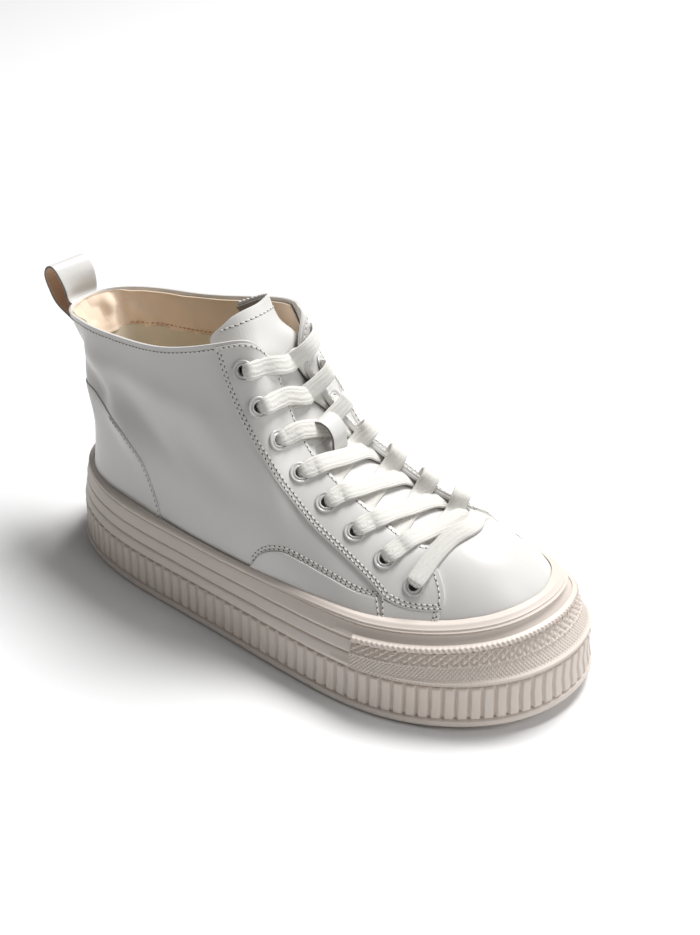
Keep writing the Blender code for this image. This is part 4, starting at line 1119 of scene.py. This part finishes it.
tongue_face = smooth_path(np.reshape(tongue_rows, (len(tongue_rows), -1)), UP).reshape(UP, ACROSS, 3)
tongue_out = unit(np.cross(np.gradient(tongue_face, axis=1), np.gradient(tongue_face, axis=0)))


def tongue_layer(name, depth, thick, material, nodes, teeth=0.0, short=0.0):
    """One layer of the tongue, depth millimetres under its face, ending a share short."""
    surface = tongue_face - depth * tongue_out

    def place(across, up):
        beside = np.clip(1 - across / CORNER_SHARE, 0, 1)
        up = up * (1 - CORNER_DROP * (1 - np.sqrt(1 - beside ** 2))) * (1 - short)
        j, i = across * (ACROSS - 1), up * (UP - 1)
        j0, i0 = np.minimum(j.astype(int), ACROSS - 2), np.minimum(i.astype(int), UP - 2)
        fj, fi = (j - j0)[:, None], (i - i0)[:, None]
        point = ((1 - fi) * ((1 - fj) * surface[i0, j0] + fj * surface[i0, j0 + 1])
                 + fi * ((1 - fj) * surface[i0 + 1, j0] + fj * surface[i0 + 1, j0 + 1]))
        pinked = (smooth_step((across - PINKED_FROM) / PINKED_OVER)
                  * smooth_step((up - PINKED_ROW) / PINKED_ROWS))
        point[:, 2] += teeth * saw(across * PINKING) * pinked
        return point
    piece = sheet(name, 4 * PINKING, 120, place)
    thicken(piece, thick)
    round_edges(piece, 0.3, 2, 55)
    done(piece, material, nodes, 50)


tongue_layer("tongue_leather", 0.0, 1.1, leather, ["tongue"], teeth=0.6)
tongue_layer("tongue_felt", 1.15, 1.8, felt, [], short=0.005)

# %% Stitches across the tongue's top
SEAM_ROW = 116
sew(smooth_path(tongue_face[SEAM_ROW, 2:-2], 120), smooth_path(tongue_out[SEAM_ROW, 2:-2], 120), 0.0)
print("tongue seam length (mm):", round(float(run_lengths(tongue_face[SEAM_ROW])[-1])))

# %% [markdown]
# ## Eyelets
# A pressed brass eyelet is a turned shape: barrel, rolled inner lip, shallow groove and rounded
# rim. A closed ring of points is its cut, and a spin about the Z axis turns it.

# %% One eyelet turned by a spin, then set on the facings
EYELET_CUT = [
    (2.35, -2.8), (2.35, 0.5), (2.48, 0.9), (2.8, 1.08), (3.15, 0.95), (3.4, 0.62), (3.65, 0.55), (3.9, 0.72),
    (4.25, 0.92), (4.65, 0.85), (4.95, 0.55), (5.02, 0.15), (4.8, -0.1), (2.95, -0.1), (2.9, -2.8),
]
FLANGE_RADIUS, FLANGE_SEAT = 5.0, 0.55
eyelet = primitive(bpy.ops.mesh.primitive_circle_add, vertices=len(EYELET_CUT), radius=0.01)
put_vertices(eyelet, [(r, 0.0, h) for r, h in EYELET_CUT])
only(eyelet)
bpy.ops.object.mode_set(mode="EDIT")
bpy.ops.mesh.select_all(action="SELECT")
bpy.ops.mesh.spin(steps=24, angle=2 * pi, center=(0, 0, 0), axis=(0, 0, 1))
bpy.ops.object.mode_set(mode="OBJECT")
close_up(eyelet)


def flange_rise(row, side):
    """How far the facing rises over the plane of an eyelet's flange within its radius."""
    centre, axis, _, _ = eyelet_frame(row, side)
    t, v = eyelet_place(row)
    around = np.linspace(-1, 1, 21)
    near = skin(side_t(t, side) + 0.6 * around[:, None], v + 0.15 * around[None, :])
    offset = near.reshape(-1, 3) - centre
    height = offset @ axis
    spread = np.linalg.norm(offset - height[:, None] * axis, axis=1)
    return height[spread < FLANGE_RADIUS].max()


eyelet_lift = {(row, side): FACING_LIFT + FLANGE_SEAT * flange_rise(row, side)
               for side in (-1, 1) for row in range(ROWS)}
turned_shape = vertices_of(eyelet) / MM
for side, word in SIDES:
    for row in range(ROWS):
        only(eyelet)
        bpy.ops.object.duplicate()
        rim = bpy.context.object
        rim.name = rim.data.name = "eyelet_ring_%s%d" % (word[0], row + 1)
        put_vertices(rim, set_on(turned_shape, eyelet_frame(row, side), eyelet_lift[row, side]))
        close_up(rim)
        done(rim, enamel, ["eyelet_%s%d" % (word[0], row + 1)], 60)
bpy.data.objects.remove(eyelet)
bpy.data.objects.remove(punch)

# %% [markdown]
# ## Laces
# One flat cotton lace goes through all sixteen eyelets. It lies straight across at the bottom,
# then every run comes up out of an eyelet, squeezed to the width of the hole, spreads to its
# full width on the facing, crosses the other run over the tongue and goes under the far facing
# to come up through the next eyelet. Each run is a flat oval swept along that path.

# %% Sweep of a flat oval along a path
LACE_WIDTH, LACE_THICK, OVAL = 8.8, 2.1, 24
FULL = (LACE_WIDTH, LACE_THICK)
FLAT_WIDE, FLAT_HIGH = 0.75, 0.8          # powers under 1 square the oval
GATHER, GROOVE_DEPTH, GROOVES, WANDER, WANDER_LENGTH = 2.5, 0.07, 1.1, 0.25, 9.0
BREATH, BREATH_LENGTH = 0.035, 3.1        # share of the width, mm


def power(x, n):
    return np.sign(x) * np.abs(x) ** n


def sweep(name, way, count, seed):
    """Lace swept along way points (place, direction its face looks to, width, thickness)."""
    path = smooth_path([p for p, _, _, _ in way], count)
    ups = smooth_path([unit(u) for _, u, _, _ in way], count)
    widths, thicks = smooth_path([(w, h) for _, _, w, h in way], count).T
    along = unit(np.gradient(path, axis=0))
    side = unit(np.cross(along, ups))
    up = np.cross(side, along)
    length = run_lengths(path)

    def place(across, down):
        k = row_number(down, count - 1)
        angle = -2 * pi * across
        wide, high = power(np.cos(angle), FLAT_WIDE), power(np.sin(angle), FLAT_HIGH)
        # cotton is never quite flat: two soft grooves run along the lace, and it breathes
        squeeze = 1 + GATHER * np.clip(1 - widths[k] / LACE_WIDTH, 0, 1)
        groove = GROOVE_DEPTH * squeeze * np.abs(high) * np.cos(
            2 * pi * (wide * GROOVES + WANDER * np.sin(length[k] / WANDER_LENGTH + seed)))
        a = wide * widths[k] / 2 * (1 + BREATH * np.sin(length[k] / BREATH_LENGTH + seed) * wide)
        b = high * (thicks[k] / 2 + groove)
        return path[k] + side[k] * a[:, None] + up[k] * b[:, None]
    piece = sheet(name, OVAL, count - 1, place)
    uv = piece.data.uv_layers.active.data
    flat = np.empty(2 * len(uv))
    uv.foreach_get("uv", flat)
    uv.foreach_set("uv", (flat.reshape(-1, 2) * (2 * LACE_WIDTH, length[-1])).ravel())
    close_up(piece, caps=True)
    return piece


print("oval points:", OVAL)

# %% Seven crossings: lateral run over medial run
CROSS_AT, FAR_AT, LAST_SLANT = 0.42, 0.66, 0.55          # shares of the way to the next row
LOOP_LIFT, RIM_LIFT = {-1: 3.2, 1: 7.4}, {-1: 2.8, 1: 4.0}      # the medial loops hang slack
OVER_LIFT, AFTER_LIFT = {-1: 3.0, 1: 1.1}, {-1: 2.7, 1: 1.0}    # at the crossing, and past it
SECTION, FAR_STEP, NEAR_STEP = 101, 17, 15                      # points across the tongue
STEEP_ROWS, RUN_POINTS = 3, 71
# out of a hole: height over the eyelet's seat, way along, how far it looks up and back, width, thickness
OUT_OF_HOLE = [(0.1, 0.8, 0, 1, 5.4, 2.4), (1.5, 1.7, 1, 1, 7, 2.2), (1.95, 3.9, 1, 0, 8.5, LACE_THICK)]
# into the next hole from below: depth, way back, how far it looks back, width, thickness
INTO_HOLE = [(3.4, 3, 0, 5.6, 2), (2.6, 0.4, 1, 4.6, 2.2)]
HOLE_DEPTH, HOLE_AHEAD, HOLE_WIDTH, HOLE_THICK = 2.2, 0.6, 4.6, 2.4
HALF_SHARE, UNDER_SHARE, UNDER_LIFT, UNDER_WIDTH, UNDER_AT = 0.6, 0.7, -1.6, 8.2, 0.4


def out_of_hole(row, side, rim):
    """Way points of a lace that comes up through an eyelet and turns over its rim."""
    centre, axis, _, _ = eyelet_frame(row, side)
    heading = rim - centre
    heading = unit(heading - axis * (heading @ axis))
    lift = eyelet_lift[row, side]
    inside = (centre - axis * HOLE_DEPTH + heading * HOLE_AHEAD, -heading, HOLE_WIDTH, HOLE_THICK)
    return [inside] + [
        (centre + axis * (lift + height) + heading * ahead, axis * up - heading * back, width, thick)
        for height, ahead, up, back, width, thick in OUT_OF_HOLE], axis


def lace_way(row, side):
    """Way points of one run, from its eyelet to the next one."""
    slant = LAST_SLANT if row == ROWS - 2 else 1.0
    rim = flap_point(row + CROSS_AT * slant / 2, side, 1.0, RIM_LIFT[side])
    way, axis = out_of_hole(row, side, rim)
    middle, out = crown(row + CROSS_AT * slant)
    _, far_out = crown(row + FAR_AT * slant)
    far = tongue_section(row + FAR_AT * slant, SECTION)[SECTION // 2 - side * FAR_STEP]
    next_centre, next_axis, _, _ = eyelet_frame(row + 1, -side)
    under = flap_chord(row + 0.5 + UNDER_AT * slant, -side, UNDER_SHARE, UNDER_LIFT, False)
    back = unit(next_centre - under)
    way += [
        (flap_chord(row + CROSS_AT * slant / 4, side, HALF_SHARE, LOOP_LIFT[side]), axis, *FULL),
        (rim, axis * 0.6 + out * 0.5, *FULL),
    ]
    if side > 0 and row >= STEEP_ROWS:          # the under run hugs the tongue where it drops away
        near = tongue_section(row + CROSS_AT * slant * 0.75, SECTION)[SECTION // 2 + NEAR_STEP]
        way.append((near + out * (OVER_LIFT[side] + 0.1), out, *FULL))
    return way + [
        (middle + out * OVER_LIFT[side], out, *FULL),
        (far + far_out * AFTER_LIFT[side], far_out, *FULL),
        (under, far_out, UNDER_WIDTH, LACE_THICK),
    ] + [(next_centre - next_axis * depth - back * behind, next_axis - back * turn, width, thick)
         for depth, behind, turn, width, thick in INTO_HOLE]


for row in range(ROWS - 1):
    runs = [sweep("lace_%s_%d" % (word, row + 1), lace_way(row, side), RUN_POINTS, 2.0 * row + side)
            for side, word in SIDES]
    for run in runs:
        done(run, cotton, ["lace_cross_%d" % (row + 1)], 60)

# %% Bottom bar, straight across between the lowest eyelets
BAR_THICK, BAR_RISE, BAR_RIM, BAR_LIFT = 2.6, 5.6, 0.8, 3.6
bar = []
for side, _ in SIDES:
    rim = flap_chord(ROWS - 1, side, BAR_RIM, BAR_LIFT)
    way, axis = out_of_hole(ROWS - 1, side, rim)
    bar.append(way + [(rim, axis, LACE_WIDTH, BAR_THICK)])
middle, out = crown(ROWS - 1)
way = bar[0] + [(middle + out * BAR_RISE, out, LACE_WIDTH, BAR_THICK)] + bar[1][::-1]
done(sweep("lace_bottom_bar", way, 91, 5.0), cotton, ["lace_bar"], 60)

# %% [markdown]
# ## Keeper and heel strap
# Both are straps of the same leather with painted edges. A strap is a long narrow sheet with
# thickness; the edge faces get the edge paint, and the back of the heel strap its tan lining.

# %% A leather strap from a surface
def strap(name, face, thick, nodes, back):
    """A strap whose back lies on a grid of points; leather outside, painted edges."""
    rows, columns = face.shape[:2]
    piece = sheet(name, columns - 1, rows - 1,
                  lambda across, up: face[row_number(up, rows - 1), row_number(across, columns - 1)])
    for mat in (back, leather, cut_edge):
        piece.data.materials.append(mat)
    modifier(piece, "SOLIDIFY", thickness=thick * MM, offset=-1.0, material_offset=1, material_offset_rim=2)
    round_edges(piece, 0.16, 2, 55)
    done(piece, None, nodes, 50)


print("strap helper ready")

# %% Lace keeper: a loop of leather on the tongue over the third crossing
KEEPER_WIDTH, KEEPER_THICK = 10.0, 1.2
KEEPER_POINTS = [          # lace row, and height over the tongue's crown
    (2.30, 0.9), (2.20, 1.9), (2.17, 4.6), (2.26, 7.6), (2.46, 8.8), (2.68, 7.6), (2.86, 4.2), (3.02, 1.2),
]
keeper_path = smooth_path([crown(row)[0] + crown(row)[1] * lift for row, lift in KEEPER_POINTS], 61)
keeper_out = smooth_path([crown(row)[1] for row, _ in KEEPER_POINTS], 61)
sideways = unit(np.cross(keeper_out, np.gradient(keeper_path, axis=0)))
share = np.linspace(-1, 1, 13)
keeper_face = keeper_path[:, None, :] + sideways[:, None, :] * share[None, :, None] * KEEPER_WIDTH / 2
strap("lace_keeper_tab", keeper_face, KEEPER_THICK, ["lace_keeper"], leather)

# %% Heel strap: up the heel, over in a loop above the collar, down to a free tail
STRAP_WIDTH, STRAP_THICK, STRAP_PLANE, STRAP_SPREAD, LOOP_TWIST = 20.0, 1.2, 4.6, 0.42, 1.8
STRAP_LEG = [              # height share on the heel, and lift
    (0.12, -0.1), (0.16, 0.1), (0.3, 0.1), (0.45, 0.1), (0.57, 0.1), (0.69, 0.5), (0.81, 0.6), (0.93, 0.6),
    (0.97, 0.6),
]
LOOP_POINTS = [            # x, z, hollow across the strap, share of the twist
    (-146.6, 121, 2.2, 0.2), (-146.2, 126.5, 1, 0.6), (-147.6, 132, 0.3, 1), (-151, 136, 0, 1),
    (-155, 135.3, 0, 0.8), (-157.2, 131, 0, 0.5), (-156, 124.5, 0.8, 0.2), (-152.6, 118, 1.6, 0),
]
STRAP_TAIL = [(0.93, 4.8), (0.87, 3.9), (0.81, 3.5), (0.75, 3.5), (0.69, 4.3), (0.63, 5.6)]
STRAP_ROWS, STRAP_COLUMNS = 161, 17
share = np.linspace(-1, 1, STRAP_COLUMNS)
leg, tail = [[skin(-share * STRAP_SPREAD, v, lift) for v, lift in part] for part in (STRAP_LEG, STRAP_TAIL)]
loop = [np.column_stack([x + hollow * share ** 2 + LOOP_TWIST * twist * share,
                         STRAP_PLANE + share * STRAP_WIDTH / 2, np.full(STRAP_COLUMNS, z)])
        for x, z, hollow, twist in LOOP_POINTS]
strap_rows = leg + loop + tail
strap_face = smooth_path(np.reshape(strap_rows, (len(strap_rows), -1)), STRAP_ROWS)
strap_face = strap_face.reshape(STRAP_ROWS, STRAP_COLUMNS, 3)[:, ::-1]
strap("heel_strap_sewn", strap_face, STRAP_THICK, ["heel_strap"], strap_lining)

# %% Thread, and dark balls of painted needle-hole shade, as joined meshes
def stamp(name, template, places, material):
    """One joined mesh: a copy of the template on every place (centre, run, out)."""
    corners = vertices_of(template) / MM
    faces = [tuple(p.vertices) for p in template.data.polygons]
    rows = np.concatenate(places)
    centre, run, out = rows[:, [0]], rows[:, [1]], rows[:, [2]]
    points = (centre + corners[:, [0]] * run + corners[:, [1]] * np.cross(out, run) + corners[:, [2]] * out)
    mesh = bpy.data.meshes.new(name)
    mesh.from_pydata((points.reshape(-1, 3) * MM).tolist(), [],
                     [tuple(k * len(corners) + i for i in f) for k in range(len(rows)) for f in faces])
    piece = bpy.data.objects.new(name, mesh)
    bpy.context.collection.objects.link(piece)
    print(name, "copies:", len(rows))
    done(piece, material, [], 60)


stamp("seam_stitches", stitch, stitch_places, thread)
# the needle holes: dark flattened balls on the leather that paint the holes' shade
stamp("seam_needle_hole_shade", hole, hole_shade_places, needle_hole_shade)
stamp("lining_stitches", stitch, lining_places, tan_thread)
bpy.data.objects.remove(stitch)
bpy.data.objects.remove(hole)

# %% [markdown]
# ## Studio
# A product table: one pale sweep of floor, a large soft lamp high behind the shoe on the
# medial side, and a dim even room. The lamp lights every surface that looks up and leaves the
# near side in a soft grey shade, so panels show by shadow and not by colour; stitches show by
# shadow and by the painted shade of their needle holes.

# %% Floor
floor = primitive(bpy.ops.mesh.primitive_plane_add, "floor", size=12.0)
floor.data.materials.append(new_material("matt paper sweep, pale grey", "#F0F0F0", 0.95)[0])
print("floor ready")

# %% Room light and lamps
world = bpy.data.worlds.new("room")
bpy.context.scene.world = world
world.use_nodes = True
room = world.node_tree.nodes["Background"]
room.inputs["Color"].default_value = srgb("#FFFFFF")
room.inputs["Strength"].default_value = 0.14
BOOT_MIDDLE = Vector((0.0, 0.0, 0.05))


def lamp(name, place, width, height, watts):
    """A soft rectangular lamp that faces the boot's middle; metres and watts."""
    bpy.ops.object.light_add(type="AREA", location=place)
    light = bpy.context.object
    light.name = name
    light.data.shape = "RECTANGLE"
    light.data.size, light.data.size_y, light.data.energy = width, height, watts
    light.rotation_euler = (BOOT_MIDDLE - Vector(place)).to_track_quat("-Z", "Y").to_euler()


lamp("key, behind on the medial side", (0.1, 0.72, 1.65), 0.8, 0.7, 40.0)
lamp("fill, over the toe", (1.4, 0.1, 1.1), 0.9, 0.9, 8.0)

# %% [markdown]
# The camera stands a little outside the toe and looks down on the shoe, as a customer would at
# a shelf below eye level. A long lens keeps the lines of the sole nearly parallel.

# %% Camera
AIM, AWAY, AZIMUTH, ELEVATION = Vector((0.0008, 0.0307, 0.06)), 0.88, radians(36.0), radians(32.0)
from_aim = Vector((cos(ELEVATION) * sin(AZIMUTH), -cos(ELEVATION) * cos(AZIMUTH), sin(ELEVATION)))
bpy.ops.object.camera_add(location=AIM + from_aim * AWAY, rotation=(pi / 2 - ELEVATION, 0.0, AZIMUTH))
camera = bpy.context.object
camera.data.lens = 70.14
camera.data.sensor_width = 36.0
bpy.context.scene.camera = camera
bpy.context.scene.view_settings.view_transform = "Standard"
print("camera at", [round(c, 3) for c in camera.location])
